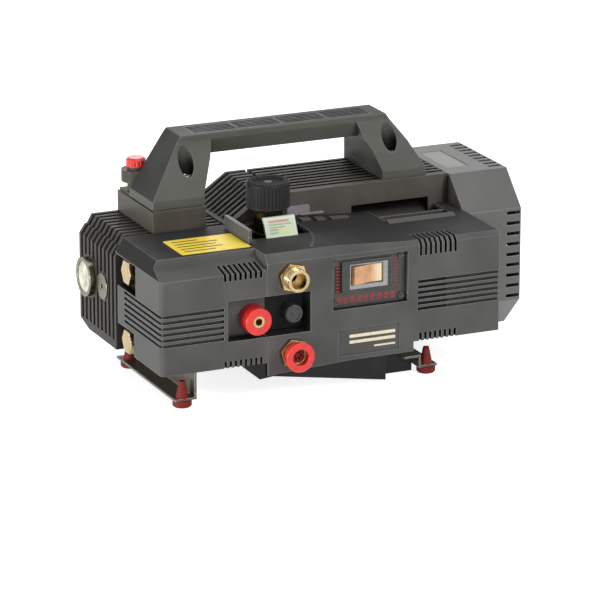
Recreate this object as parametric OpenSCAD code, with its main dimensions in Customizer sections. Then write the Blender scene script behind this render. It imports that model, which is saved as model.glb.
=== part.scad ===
// Portable electric pressure washer: a motor, a three-plunger pump, moulded covers and a carrying handle.
// X runs along the shaft from the pump to the fan, Y from the front covers to the back, Z up from the floor.
// Places are measured from the pump cover's left end, its front face and the floor, then moved to the middle.

/* [Pump cover] */
// Width of the pump cover, from its left end to the seam
cover_w = 112; // [110:0.5:118]
// Depth of both covers, from the front face back to the crankcase
cover_depth = 118; // [114:0.5:124]
// Height of the pump cover's lower edge
cover_bottom = 37; // [33:0.5:38]
// Height of the pump cover's front face
cover_front_top = 131.5; // [128:0.5:134]
// Height of the pump cover's flat top
cover_top = 145.3; // [143:0.1:148]
// Depth of the sloping shelf behind the front face
shelf_depth = 29; // [24:0.5:34]
// Rise of the sloping shelf
shelf_rise = 7; // [4:0.5:9]
// Wall of the moulded covers
cover_wall = 3; // [2:0.1:3.6]
// Radius of the pump cover's front left corner
cover_corner_r = 5; // [3:0.5:9]
// Grooves in the pump cover's front and left side
groove_count = 6; // [3:1:6]
// Distance between grooves and between louvres
groove_pitch = 5.9; // [5:0.1:6]
// Height of a groove or louvre
groove_h = 3; // [1.5:0.1:3.2]
// Vent slots in each row
vent_count = 8; // [4:1:8]
// Distance between vent slots
vent_pitch = 5.4; // [4.5:0.1:5.5]
// Width of a vent slot
vent_w = 2.7; // [1.5:0.1:3.2]

/* [Front housing] */
// Width of the front housing, from the seam to the fan hood
housing_w = 252; // [246:0.5:270]
// Height of the front housing's lower edge
housing_bottom = 28; // [26:0.5:30]
// Dip of the lower edge at the seam with the pump cover
housing_dip = 4.5; // [2:0.5:6]
// Step up of the lower edge at the right end
housing_step = 10; // [6:0.5:12]
// Height of the front housing's top at its left end
housing_top = 145; // [143:0.5:147]
// Fall of the top towards the right end
housing_fall = 3.5; // [1:0.5:5]
// Height at which the front face bends into the top bevel
bevel_start = 137; // [134:0.5:139]
// Depth of the knob pocket in the pump cover
pocket_depth = 14; // [10:0.5:18]
// Depth of the button pocket in the front housing
button_pocket_depth = 20; // [16:0.5:22]
// Depth of the recess around the switch
switch_recess = 6; // [3:0.5:7]

/* [Motor] */
// Distance of the shaft behind the covers
shaft_back = 51; // [49:0.5:53]
// Height of the shaft
shaft_z = 88.5; // [86:0.5:91]
// Radius of the shaft
shaft_r = 10; // [8:0.5:11]
// Radius of the motor casing
motor_r = 66; // [65:0.5:69]
// Wall of the motor casing
motor_wall = 4; // [3:0.5:5]
// Height of the motor's finned top
motor_top = 171; // [169:0.5:174]
// Depth of the finned top block
top_block_d = 98; // [94:0.5:100]
// Length of the pump end shield
shield_len = 66; // [62:0.5:70]
// Length of the stator core
stator_len = 90; // [70:1:100]
// Fins across the crankcase and the motor
fin_count = 9; // [6:1:10]
// Thickness of a fin
fin_t = 4.5; // [3:0.1:5.5]
// Depth of the gaps between fins
fin_depth = 7; // [4:0.5:8]

/* [Fan hood] */
// Length of the fan hood
hood_len = 65; // [60:0.5:75]
// Width of the fan hood
hood_w = 178; // [170:1:190]
// Height of the fan hood
hood_h = 165; // [160:1:167]
// Corner chamfer of the fan hood
hood_chamfer = 34; // [26:1:38]
// Wall of the fan hood
hood_wall = 2.5; // [2:0.1:4]
// Distance between the hood's edge slots
hood_slot_pitch = 11; // [9:0.5:12]

/* [Handle] */
// Height of the handle's top
handle_top = 232.3; // [226:0.1:240]
// Depth of the grip
grip_d = 39.4; // [34:0.1:44]
// Height of the grip
grip_h = 22; // [19:0.1:24]
// Width of the handle's left foot
left_leg_w = 57; // [52:0.5:60]
// Height of the pedestal under the left leg
pedestal_h = 23.7; // [20:0.1:26]
// Radius of the handle's screw pockets
screw_pocket_r = 8; // [6:0.1:8.5]

/* [Pump] */
// Length of the crankcase
crankcase_len = 118; // [115:0.5:121]
// Depth of the crankcase
crankcase_d = 98; // [96:0.5:102]
// Height of the crankcase's top
crankcase_top = 144.3; // [142:0.1:145.3]
// Height of the crankcase's underside
crankcase_bottom = 37; // [35:0.5:38]
// Distance between plungers
plunger_pitch = 28; // [26:0.5:29]
// Radius of a plunger
plunger_r = 7; // [5:0.1:7.5]
// Throw of each eccentric
crank_throw = 3; // [2:0.1:3.5]
// Outer radius of the eccentric bearings
eccentric_ring_r = 22; // [20:0.5:23]
// Clearance of running fits
running_gap = 0.05; // [0.02:0.01:0.08]
// Distance across the flats of the gallery plugs
plug_af = 22; // [20:0.5:26]
// Radius of the oil sight glass
sight_r = 20; // [17:0.5:21]
// How far the sight glass stands out from the crankcase
sight_proud = 6.5; // [4:0.5:8]

/* [Connections] */
// Radius of the high pressure outlet's thread
outlet_r = 11; // [10.5:0.1:12.5]
// Radius of the high pressure outlet's bore
outlet_bore_r = 8.2; // [6:0.1:8.6]
// Distance across the flats of the outlet and inlet hexagons
fitting_af = 26; // [24:0.5:27]
// How far the outlet reaches in front of the covers
outlet_reach = 17; // [15:0.5:19]
// Radius of the red inlet collar
collar_r = 15.2; // [13:0.1:17]
// Radius of the bore of the inlet collar
inlet_bore_r = 8.4; // [7:0.1:9]
// How far the inlet reaches in front of the covers
inlet_reach = 19; // [18:0.5:22]
// Radius of the detergent knob
detergent_knob_r = 13.8; // [11:0.1:16]
// Radius of the detergent nipple's bore
detergent_bore_r = 3.6; // [2:0.1:4.5]
// Radius of the pressure knob
pressure_knob_r = 22; // [18:0.5:24]
// Height of the pressure knob
pressure_knob_h = 27.5; // [22:0.5:32]
// Radius of the reset button
reset_button_r = 9; // [7:0.1:10]

/* [Feet] */
// Radius of a rubber foot
foot_r = 9.5; // [8:0.1:11]
// Height of a rubber foot under its bracket
foot_h = 7; // [5:0.5:8]
// Thickness of the bracket sheet
sheet_t = 2; // [1.5:0.1:3]

/* [Hidden] */
$fn = 72;
// Small cut past a face, so that a hole is open
over = 1;
// Gap at the seam between the two covers
seam = 0.6;
// Gap left between a fixed piece and what passes through it
pass_gap = 0.5;

charcoal = "#565654";
black_paint = "#2b2c2a";
handle_grey = "#5f6059";
brass = "#d9b56a";
steel = "#b9bbbd";
zinc = "#c8cacc";
signal_red = "#c8201e";
dark_red = "#8e1f1a";
rubber_black = "#1c1c1c";
copper = "#b06a32";

// Stations along the shaft and behind the covers
shaft_y = cover_depth + shaft_back;
housing_end = cover_w + housing_w;
hood_end = housing_end + hood_len;
shield_end = crankcase_len + shield_len;
flange_t = 6;
casing_end = housing_end - flange_t;
mid_x = (hood_end - sight_proud) / 2;
mid_y = (shaft_y + hood_w / 2 - max(inlet_reach, outlet_reach)) / 2;
back_y = cover_depth + crankcase_d;
block_back = cover_depth + top_block_d;

// Pump cover
shelf_lip = 2;
cover_left_chamfer = 9;
cover_left_edge = cover_front_top + 0.5;
groove_depth = 1.9;
groove_low = 67.4;
groove_end_x = 66;
groove_end_y = cover_depth - 23;
strip_end_y = cover_depth - 5;
vent_start_x = 66;
vent_front_low = 124.7;
vent_back_y = 19;
foot_vent_h = 7;

// Knob and button pockets
pocket_wall = 2.5;
pocket_x = 70;
pocket_low = 63.5;
pocket_high = 104.5;
button_pocket_end = cover_w + 46;
detergent_x = cover_w - 11.5;
detergent_z = 81.5;
detergent_knob_front = -6;
detergent_nipple_r = 6;
button_x = cover_w + 30;
button_z = 82;
button_front = 4;
button_travel = 3;

// Front housing details
dip_end = cover_w + 88;
top_flat_end = cover_w + 78;
top_fall_end = cover_w + 150;
step_x = cover_w + 158;
right_vent_x = cover_w + 164;
right_vent_low = 126;
right_vent_back = 24;
louvre_deep_x = cover_w + 162;
louvre_mid_x = cover_w + 195;
louvre_low = 71.3;
opening_x = cover_w + 4;
opening_w = 68;
opening_y = cover_depth - 58;
opening_back = 6;
side_wall_t = 3.5;
side_wall_y = cover_depth - 72;
side_wall_len = 60;
side_wall_top = 159;
trough_x = cover_w + 162;
trough_end = housing_end - 16;
trough_y = cover_depth - 45;
trough_bar_y = cover_depth - 26;
trough_bar_d = 2.5;
trough_lip_run = 7;
trough_lip_rise = 2.5;
badge_x = cover_w + 76;
badge_w = 66;
badge_low = 33;
badge_h = 27;
badge_depth = 0.8;

// Switch
switch_x = cover_w + 108;
switch_z = 113.5;
recess_x = cover_w + 70;
recess_w = 81;
recess_low = 81;
recess_high = 132.5;
bezel_w = 54;
bezel_low = 96.5;
bezel_high = 128;
bezel_t = 3;
rocker_w = 33.4;
rocker_h = 18.5;
rocker_room = 1.5;
rocker_end_gap = 0.3;
rocker_well = 14;
trunnion_r = 2;
trunnion_len = 2;
rocker_tilt = 10;
rocker_pivot_y = switch_recess + 3;
switch_body_w = 42;
switch_body_h = 25;
switch_body_d = 32;
screw_head_r = 3.5;
screw_inset = 5;

// Crankcase inside
case_wall = 6;
end_wall = 26;
end_chamfer_x = 12.6;
end_chamfer_z = 18.5;
fin_ledge = 2;
skirt_t = 12;
skirt_drop = 6.5;
skirt_corner = 24;
cavity_low = crankcase_bottom + 9;
case_roof = 13.3;
cavity_high = crankcase_top - case_roof;
sight_y = cover_depth + 72;
sight_z = 87;
drain_y = cover_depth + 34;
drain_r = 13;
drain_proud = 1.5;
sight_spigot_r = sight_r - 8;
sight_spigot_len = 7;
sight_port_r = 7;
lens_r = sight_r - 4;
lens_seat = 2;
drain_spigot_r = drain_r - 4;
drain_spigot_len = 11;
boss_margin = 2.2;
journal_r = 6;
end_bearing_r = 13;
end_bearing_w = 8;
seal_r = 16;
drive_bearing_r = 21;
drive_bearing_w = 12;
drive_bearing_x = crankcase_len + 2;
fan_bearing_w = 12;
fan_bearing_x = casing_end - 4;
eccentric_r = 16;
eccentric_w = 18;
first_plunger_x = (end_wall + crankcase_len - case_wall) / 2 - plunger_pitch;
plunger_flange_r = 11;
plunger_flange_t = 4;
plunger_back = shaft_y - eccentric_ring_r - 2 * crank_throw - 0.3;
plunger_front = cover_depth - 38;
chamber_room = 6;
spring_wire_r = 1;
spring_gap = 0.3;

// Pump head
head_left = 8;
head_right = 110;
head_front = cover_depth - 56;
head_low = crankcase_bottom;
head_high = 136;
gallery_y = cover_depth - 33;
gallery_up_z = 119.5;
gallery_low_z = 48.5;
gallery_r = 8;
plug_room = 0.5;
plug_window_low_top = gallery_low_z + plug_af / 2 + 2 * plug_room;
plug_window_up = gallery_up_z - plug_af / 2 - 9;
plug_window_up_top = gallery_up_z + plug_af / 2 + plug_room;
plug_window_up_y = gallery_y - plug_af / 2 - 9;
plug_window_low_y = gallery_y - plug_af / 2 - 3;
valve_r = 7;
valve_len = 12;
seal_bore_r = plunger_r + 2;
bolt_r = 4;
bolt_dz = 18.5;
bolt_head_h = 8;
nipple_end = head_front + 8;

// Valve block and regulator
block_x = cover_w + 10;
block_end = cover_w + 56;
block_front = cover_depth - 68;
block_back_y = cover_depth - 8;
block_low = 34;
block_high = 140;
outlet_x = cover_w + 26.1;
outlet_z = 121.2;
inlet_x = cover_w + 27.1;
inlet_z = 44;
inlet_tube_r = inlet_bore_r + 1.1;
inlet_tube_front = 8 - inlet_reach;
strainer_r = inlet_bore_r - 1.5;
strainer_flange_r = strainer_r + 0.8;
strainer_flange_t = 1;
strainer_sink = 0.3;
fitting_shank_r = 9;
shank_seat = 10;
hex_front = -5;
hex_back = 5;
hex_turn = 15;
fitting_hole_r = fitting_af / sqrt(3) + 0.7;
reg_x = cover_w + 40;
reg_y = cover_depth - 28;
bonnet_r = 15;
bonnet_bore_r = 11;
bonnet_top = block_high + 25;
bonnet_roof = 5;
spindle_r = 4;
unloader_bore_r = 8.2;
piston_r = 5;
piston_head_r = 7.8;
piston_head_t = 3;
piston_step = 118;
piston_low = 85;
seat_t = 5;
seat_top = bonnet_top - bonnet_roof - 1;
unloader_wire_r = 1.1;
unloader_turns = 6;
knob_low = bonnet_top + 2.5;
knob_dish = 1.5;
spindle_reach = 6;
plate_x = cover_w + 24;
plate_w = 34;
plate_t = 2.5;
plate_top = knob_low - 4;
plate_lean = 9;

// Motor inside
motor_bore_r = motor_r - motor_wall;
rotor_r = 39.5;
air_gap = 0.5;
stator_x = shield_end + 32;
winding_len = 15;
pad_x = step_x - 12;
pad_w = 34;
pad_low = 20;
pad_y = shaft_y - 34;
pad_d = 70;
pad_bolt_depth = 6;
pad_bolt_inset = 14;
rail_d = 9;
rail_low = cover_top + 3.7;
notch_x = cover_w + 144;
notch_end = housing_end - 22;
plate_octagon_t = 5;
hub_r = 30;
fan_x = housing_end + 12;
fan_r = 64;
fan_w = 22;
blade_count = 7;
cap_r = 20;
cap_x = step_x + 8;
cap_len = 58;
cap_y = cover_depth - 60;
cap_tab_w = 6;
cap_tab_len = 8;
gland_x = housing_end - 14;
gland_y = cover_depth - 73;
gland_r = 8;

// Feet and brackets
bracket_front = 8;
foot_front_y = 14;
left_foot_x = 27;
left_foot_back_y = cover_depth + 32;
left_bracket_end = cover_depth + 43;
left_flange_x = 17;
left_web_x = 38;
left_upper_end = 62;
right_foot_x = step_x + 20.5;
right_foot_back_y = shaft_y + 61;
right_bracket_end = shaft_y + 71;
right_upper_x = step_x - 6;
right_web_x = step_x + 10;
right_flange_end = step_x + 30;
foot_hole_r = 4;
foot_cone_h = 17;
bracket_bolt_r = 3;
left_bolt_x = left_web_x + 13;
left_bolt_front = 12;
left_bolt_back = 10;
right_bolt_x = right_upper_x + 7;
pan_x = cover_w + 6;
pan_front = 1;
pan_back = cover_depth - 10;
pan_solid = 46;
scoop_x = cover_w - 27;
scoop_low_x = cover_w - 8;
scoop_d = 26;
pan_end = cover_w + 128;
pan_low_left = 22;
pan_low_right = 2;
tray_front = 18;
tray_high_end = right_upper_x - 0.5;
tray_low_end = right_web_x - 3.5;
tray_low_top = 17;

// Handle
left_leg_x = 42;
right_leg_x = housing_end - 71;
right_leg_end = housing_end - 23;
leg_front = cover_depth + 4;
left_leg_back = shaft_y + 14;
right_leg_back = block_back - 0.4;
grip_y = shaft_y - grip_d / 2;
grip_left = 84;
grip_right = housing_end - 55.5;
grip_low = handle_top - grip_h;
inner_left = 112;
inner_right = housing_end - 83;
leg_foot_h = 8;
leg_bulge = 2.5;
foot_gap = 2.5;
grip_band = 6;
grip_tuck = 6.5;
pedestal_top = crankcase_top + pedestal_h;
screw_seat = 190;
left_screw_x = 85;
right_screw_x = housing_end - 56;
handle_screw_y = leg_front + 18;
insert_x = 100;
insert_end = housing_end - 69;
insert_d = 30;
insert_t = 2.5;
filler_x = 56;
filler_y = cover_depth + 82;
filler_neck_r = 9;
filler_bore_r = 6;
filler_collar_r = 15;
filler_collar_low = pedestal_top + 10;
filler_collar_top = pedestal_top + 22;
filler_neck_top = filler_collar_top + 3;
filler_cap_r = 10;
filler_cap_h = 9;

plunger_xs = [for (i = [0:2]) first_plunger_x + i * plunger_pitch];
bolt_xs = [for (i = [0:1]) first_plunger_x + (i + 0.5) * plunger_pitch];
bolt_zs = [shaft_z - bolt_dz, shaft_z + bolt_dz];
gallery_zs = [gallery_low_z, gallery_up_z];
foot_places = [
    [left_foot_x, foot_front_y],
    [left_foot_x, left_foot_back_y],
    [right_foot_x, foot_front_y],
    [right_foot_x, right_foot_back_y]
];
left_bolt_places = [
    for (y = [cover_depth + left_bolt_front, left_bracket_end - left_bolt_back]) [left_bolt_x, y]
];
right_bolt_places = [
    for (y = [pad_y + pad_bolt_inset, pad_y + pad_d - pad_bolt_inset]) [right_bolt_x, y]
];
recess_screw_places = [
    for (x = [recess_x + screw_inset, recess_x + recess_w - screw_inset])
        for (z = [recess_low + screw_inset, recess_high - screw_inset]) [x, z]
];

// Shared shapes
module in_frame() { translate([-mid_x, -mid_y, 0]) children(); }

module along_x(x0, x1) { translate([x0, 0, 0]) rotate([90, 0, 90]) linear_extrude(x1 - x0) children(); }

module along_y(y0, y1) { translate([0, y1, 0]) rotate([90, 0, 0]) linear_extrude(y1 - y0) children(); }

module rod_x(x0, x1, r, y = shaft_y, z = shaft_z) {
    translate([x0, y, z]) rotate([0, 90, 0]) cylinder(h = x1 - x0, r = r);
}

module rod_y(y0, y1, r, x, z) { translate([x, y0, z]) rotate([-90, 0, 0]) cylinder(h = y1 - y0, r = r); }

// A profile of radius and depth turned round an axis that runs to the back
module turned_y(x, z) { translate([x, 0, z]) rotate([-90, 0, 0]) rotate_extrude() children(); }

module rod_z(z0, z1, r, x, y) { translate([x, y, z0]) cylinder(h = z1 - z0, r = r); }

module ring_x(x0, x1, outer_r, inner_r, y = shaft_y, z = shaft_z) {
    difference() {
        rod_x(x0, x1, outer_r, y, z);
        rod_x(x0 - over, x1 + over, inner_r, y, z);
    }
}

module block(low, high) { translate(low) cube(high - low); }

module hexagon(h, af) { cylinder(h = h, r = af / 2 / cos(30), $fn = 6); }

function octagon(w, h, c, t) =
    let (a = w / 2 - t, b = h / 2 - t, k = c - t * (2 - sqrt(2)))
    [[-a, k - b], [-a, b - k], [k - a, b], [a - k, b], [a, b - k], [a, k - b], [a - k, -b], [k - a, -b]];

// One unbroken coil of round wire standing on z = 0
module coil(mid_r, wire_r, length, turns) {
    rings = turns * 12;
    sides = 6;
    points = [
        for (i = [0:rings]) for (j = [0:sides - 1])
            let (a = 360 * turns * i / rings, b = 360 * j / sides, r = mid_r + wire_r * cos(b))
            [r * cos(a), r * sin(a), wire_r + (length - 2 * wire_r) * i / rings + wire_r * sin(b)]
    ];
    skin = [
        for (i = [0:rings - 1]) for (j = [0:sides - 1])
            let (p = i * sides + j, q = i * sides + (j + 1) % sides)
            each [[p, q + sides, q], [p, p + sides, q + sides]]
    ];
    start_cap = [for (j = [1:sides - 2]) [0, j, j + 1]];
    last = rings * sides;
    end_cap = [for (j = [1:sides - 2]) [last, last + j + 1, last + j]];
    polyhedron(points, concat(skin, start_cap, end_cap));
}

// Outer form of the pump cover, drawn in by t on its closed sides
module cover_form(t, x1, y1, z0) {
    intersection() {
        along_x(t, x1) polygon([
            [t, z0], [t, cover_front_top - 0.8 * t],
            [shelf_depth + 0.3 * t, cover_front_top + shelf_rise - t],
            [shelf_depth + shelf_lip + 0.8 * t, cover_top - t], [y1, cover_top - t], [y1, z0]
        ]);
        along_y(t, y1) polygon([
            [t, z0], [t, cover_left_edge - 0.5 * t], [cover_left_chamfer + 0.5 * t, cover_top - t],
            [x1, cover_top - t], [x1, z0]
        ]);
        translate([0, 0, z0]) linear_extrude(cover_top - z0) union() {
            translate([cover_corner_r, t]) square([x1 - cover_corner_r, y1 - t]);
            translate([t, cover_corner_r]) square([x1 - t, y1 - cover_corner_r]);
            translate([cover_corner_r, cover_corner_r]) circle(cover_corner_r - t);
        }
    }
}

module vent_row(x, y1, z0, z1) {
    for (i = [0:vent_count - 1])
        translate([x + i * vent_pitch, -over, z0]) cube([vent_w, y1 + over, z1 - z0]);
}

module pump_cover() {
    color(charcoal) in_frame() difference() {
        union() {
            difference() {
                cover_form(0, cover_w - seam, cover_depth, cover_bottom);
                cover_form(cover_wall, cover_w + over, cover_depth + over, cover_bottom - over);
            }
            block(
                [pocket_x - pocket_wall, 0, pocket_low - pocket_wall],
                [cover_w - seam, pocket_depth + pocket_wall, pocket_high + pocket_wall]
            );
        }
        block([pocket_x, -over, pocket_low], [cover_w, pocket_depth, pocket_high]);
        rod_y(0, pocket_depth + 2 * pocket_wall, detergent_nipple_r + pass_gap, detergent_x, detergent_z);
        for (i = [0:groove_count - 1])
            translate([-over, -over, groove_low + i * groove_pitch - groove_h / 2]) {
                cube([groove_end_x + over, groove_depth + over, groove_h]);
                cube([groove_depth + over, groove_end_y + over, groove_h]);
            }
        vent_row(vent_start_x, vent_back_y, vent_front_low, cover_top);
        vent_row(vent_start_x, cover_wall + over, cover_bottom - over, cover_bottom + foot_vent_h);
        block(
            [-over, plug_window_up_y, plug_window_up],
            [cover_wall + over, strip_end_y, plug_window_up_top]
        );
        block(
            [-over, plug_window_low_y, cover_bottom - over],
            [cover_wall + over, cover_depth + over, plug_window_low_top]
        );
        block(
            [-over, strip_end_y, cover_bottom - over],
            [cover_wall + over, cover_depth + over, cover_left_edge]
        );
    }
}

// Outer form of the front housing, drawn in by t and open at the left and the back
module housing_form(t, past) {
    right_top = housing_top - housing_fall;
    right_bottom = housing_bottom + housing_step;
    bend = bevel_start - (sqrt(2) - 1) * t;
    intersection() {
        along_y(t, cover_depth + past) polygon([
            [cover_w - past, housing_bottom - housing_dip + t], [dip_end, housing_bottom + t],
            [step_x - t, housing_bottom + t],
            [step_x - t, right_bottom + t], [housing_end - t, right_bottom + t],
            [housing_end - t, right_top - t], [top_fall_end, right_top - t], [top_flat_end, housing_top - t],
            [cover_w - past, housing_top - t]
        ]);
        along_x(cover_w - past, housing_end) polygon([
            [t, 0], [t, bend], [t + shelf_depth, bend + shelf_depth],
            [cover_depth + past, bend + shelf_depth], [cover_depth + past, 0]
        ]);
    }
}

module switch_cutout() {
    block(
        [switch_x - switch_body_w / 2, 0, switch_z - switch_body_h / 2],
        [switch_x + switch_body_w / 2, switch_recess + 2 * cover_wall, switch_z + switch_body_h / 2]
    );
}

module front_housing() {
    tub_floor = button_pocket_depth + pocket_wall;
    right_bottom = housing_bottom + housing_step;
    right_top = housing_top - housing_fall;
    saddle_inset = 10;
    louvre_pitch = groove_pitch - 0.3;
    color(charcoal) in_frame() difference() {
        union() {
            difference() {
                housing_form(0, 0);
                housing_form(cover_wall, over);
            }
            block(
                [cover_w, 0, pocket_low - pocket_wall],
                [button_pocket_end + pocket_wall, tub_floor, pocket_high + pocket_wall]
            );
            block(
                [recess_x - cover_wall, 0, recess_low - cover_wall],
                [recess_x + recess_w + cover_wall, switch_recess + cover_wall, recess_high + cover_wall]
            );
            block(
                [cover_w, side_wall_y, housing_top - cover_wall],
                [cover_w + side_wall_t, side_wall_y + side_wall_len, side_wall_top]
            );
            along_x(trough_x, trough_end) polygon([
                [trough_y - trough_lip_run, right_top - cover_wall / 2],
                [trough_y - trough_lip_run, right_top],
                [trough_y, right_top + trough_lip_rise], [trough_y, right_top - cover_wall / 2]
            ]);
            intersection() {
                housing_form(0, 0);
                block([cover_w, 0, pocket_high], [cover_w + cover_wall, side_wall_y, housing_top]);
            }
            block(
                [cap_x + saddle_inset, cap_y - cap_r / 2, right_bottom],
                [cap_x + cap_len - saddle_inset, cap_y + cap_r / 2, right_bottom + cover_wall + cap_r / 2]
            );
        }
        block([cover_w - over, -over, pocket_low], [button_pocket_end, pocket_depth, pocket_high]);
        block(
            [cover_w + pocket_wall, -over, pocket_low],
            [button_pocket_end, button_pocket_depth, pocket_high]
        );
        rod_y(0, tub_floor + over, reset_button_r + running_gap, button_x, button_z);
        block([recess_x, -over, recess_low], [recess_x + recess_w, switch_recess, recess_high]);
        switch_cutout();
        for (p = recess_screw_places)
            rod_y(0, switch_recess + 2 * cover_wall, screw_head_r / 2, p[0], p[1]);
        vent_row(right_vent_x, right_vent_back, right_vent_low, housing_top);
        vent_row(
            right_vent_x, cover_wall + pass_gap, right_bottom - over, right_bottom + foot_vent_h + 1.5
        );
        for (i = [0:groove_count - 1]) {
            z = louvre_low + i * louvre_pitch - groove_h / 2;
            block([louvre_deep_x, -over, z], [louvre_mid_x, cover_wall + over, z + groove_h]);
            block([louvre_mid_x, -over, z], [housing_end + over, groove_depth, z + groove_h]);
        }
        block([badge_x, -over, badge_low], [badge_x + badge_w, badge_depth, badge_low + badge_h]);
        rod_y(-over, hex_back + pass_gap, fitting_hole_r, outlet_x, outlet_z);
        rod_y(-over, hex_back + pass_gap, fitting_hole_r, inlet_x, inlet_z);
        block(
            [opening_x, opening_y, housing_top - 2 * cover_wall],
            [opening_x + opening_w, cover_depth - opening_back, housing_top + over]
        );
        for (y = [[trough_y, trough_bar_y], [trough_bar_y + trough_bar_d, cover_depth + over]])
            block(
                [trough_x, y[0], right_top - 2 * cover_wall],
                [trough_end, y[1], right_top + trough_lip_rise + over]
            );
        rod_x(shield_end - over, housing_end + over, motor_r + pass_gap);
        rod_x(cap_x, cap_x + cap_len, cap_r, cap_y, cap_axis_z());
        rod_z(housing_bottom, housing_bottom + 2 * housing_step, gland_r, gland_x, gland_y);
    }
}

function cap_axis_z() = housing_bottom + housing_step + cover_wall + cap_r;

module at_shaft() { translate([0, shaft_y, shaft_z]) children(); }

module hood_shell(x0, x1, t) { at_shaft() along_x(x0, x1) polygon(octagon(hood_w, hood_h, hood_chamfer, t)); }

// Straight slots over the hood's end, each as long as the fan circle there
module hood_grille() {
    rows = 5;
    rib = 8;
    slot_h = 5;
    for (i = [-rows:rows]) {
        half = sqrt(fan_r * fan_r - pow(i * hood_slot_pitch, 2));
        for (s = [-1, 1]) {
            y0 = s > 0 ? rib / 2 : -half;
            translate([hood_end - hood_wall - over, shaft_y + y0, shaft_z + i * hood_slot_pitch - slot_h / 2])
                cube([hood_wall + 2 * over, half - rib / 2, slot_h]);
        }
    }
}

// Short slots over the hood's end edges, along both sides and along the top
module hood_edge_slots() {
    slot_run = 16;
    slot_w = 3.6;
    top_slot_w = 6.5;
    bite = 9;
    half_count = 4;
    slot_x = hood_end - slot_run;
    slot_end = hood_end - hood_wall / 2;
    for (i = [-half_count:half_count]) {
        z = shaft_z + i * hood_slot_pitch;
        y = shaft_y + i * hood_slot_pitch;
        for (s = [-1, 1]) {
            edge_y = shaft_y + s * hood_w / 2;
            low_y = s > 0 ? edge_y - bite : edge_y - over;
            block([slot_x, low_y, z - slot_w / 2], [slot_end, low_y + bite + over, z + slot_w / 2]);
        }
        block(
            [slot_x, y - top_slot_w / 2, shaft_z + hood_h / 2 - bite],
            [slot_end, y + top_slot_w / 2, shaft_z + hood_h / 2 + over]
        );
    }
}

module fan_hood() {
    panel_x = housing_end + 9;
    panel_w = 24;
    panel_d = 64;
    panel_depth = 0.8;
    color(charcoal) in_frame() difference() {
        hood_shell(housing_end, hood_end, 0);
        hood_shell(housing_end - over, hood_end - hood_wall, hood_wall);
        hood_grille();
        hood_edge_slots();
        translate([panel_x, shaft_y - panel_d / 2, shaft_z + hood_h / 2 - panel_depth])
            cube([panel_w, panel_d, panel_depth + over]);
    }
}

// Left leg, grip and right leg of the handle, each the common part of its front and side outlines
module left_leg() {
    intersection() {
        along_y(leg_front, grip_y + grip_d) polygon([
            [left_leg_x, pedestal_top], [left_leg_x, pedestal_top + leg_foot_h], [grip_left, handle_top],
            [inner_left + grip_tuck, handle_top], [inner_left, grip_low],
            [left_leg_x + left_leg_w - 2, pedestal_top + leg_foot_h], [left_leg_x + left_leg_w, pedestal_top]
        ]);
        along_x(left_leg_x, inner_left + grip_tuck) polygon([
            [leg_front, pedestal_top], [leg_front, pedestal_top + leg_foot_h],
            [grip_y, handle_top - grip_band], [grip_y, handle_top],
            [grip_y + grip_d, handle_top], [grip_y + grip_d, handle_top - grip_band],
            [left_leg_back, pedestal_top + leg_foot_h], [left_leg_back, pedestal_top]
        ]);
    }
}

module right_leg() {
    intersection() {
        along_y(leg_front, right_leg_back) polygon([
            [right_leg_x, motor_top], [right_leg_x, motor_top + leg_foot_h],
            [inner_right + grip_tuck, grip_low - grip_h / 2], [inner_right, grip_low],
            [inner_right - grip_tuck, handle_top], [grip_right, handle_top],
            [(grip_right + right_leg_end) / 2 + leg_bulge, (handle_top + motor_top + leg_foot_h) / 2],
            [right_leg_end, motor_top + leg_foot_h], [right_leg_end, motor_top]
        ]);
        along_x(inner_right - grip_tuck, right_leg_end) polygon([
            [leg_front, motor_top], [leg_front, motor_top + leg_foot_h],
            [grip_y, handle_top - grip_band], [grip_y, handle_top],
            [grip_y + grip_d, handle_top], [grip_y + grip_d, handle_top - grip_band],
            [right_leg_back, motor_top + leg_foot_h], [right_leg_back, motor_top]
        ]);
    }
}

module grip_bar() {
    along_x(inner_left, inner_right) polygon([
        [grip_y, handle_top], [grip_y + grip_d, handle_top],
        [grip_y + grip_d, handle_top - grip_band], [grip_y + grip_d - grip_tuck, grip_low],
        [grip_y + grip_tuck, grip_low], [grip_y, handle_top - grip_band]
    ]);
}

module grip_recess(depth) {
    block(
        [insert_x, shaft_y - insert_d / 2, handle_top - depth],
        [insert_end, shaft_y + insert_d / 2, handle_top + over]
    );
}

module handle() {
    color(handle_grey) in_frame() difference() {
        union() {
            left_leg();
            right_leg();
            grip_bar();
        }
        grip_recess(insert_t);
        for (x = [left_screw_x, right_screw_x]) {
            rod_z(screw_seat, handle_top + over, screw_pocket_r, x, handle_screw_y);
            rod_z(pedestal_top - over, screw_seat + over, bracket_bolt_r, x, handle_screw_y);
        }
    }
}

module grip_cover() {
    groove_deep = 1.6;
    groove_wide = 2.6;
    long_grooves = 5;
    fields = 4;
    rib = 3;
    front = shaft_y - insert_d / 2;
    field = (insert_end - insert_x) / fields;
    color(black_paint) in_frame() difference() {
        intersection() {
            grip_recess(insert_t);
            block([insert_x, 0, 0], [insert_end, back_y, handle_top]);
        }
        for (i = [1:long_grooves]) for (j = [0:fields - 1])
            translate([
                insert_x + j * field + rib / 2,
                front + i * insert_d / (long_grooves + 1) - groove_wide / 2,
                handle_top - groove_deep
            ]) cube([field - rib, groove_wide, groove_deep + over]);
    }
}

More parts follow.
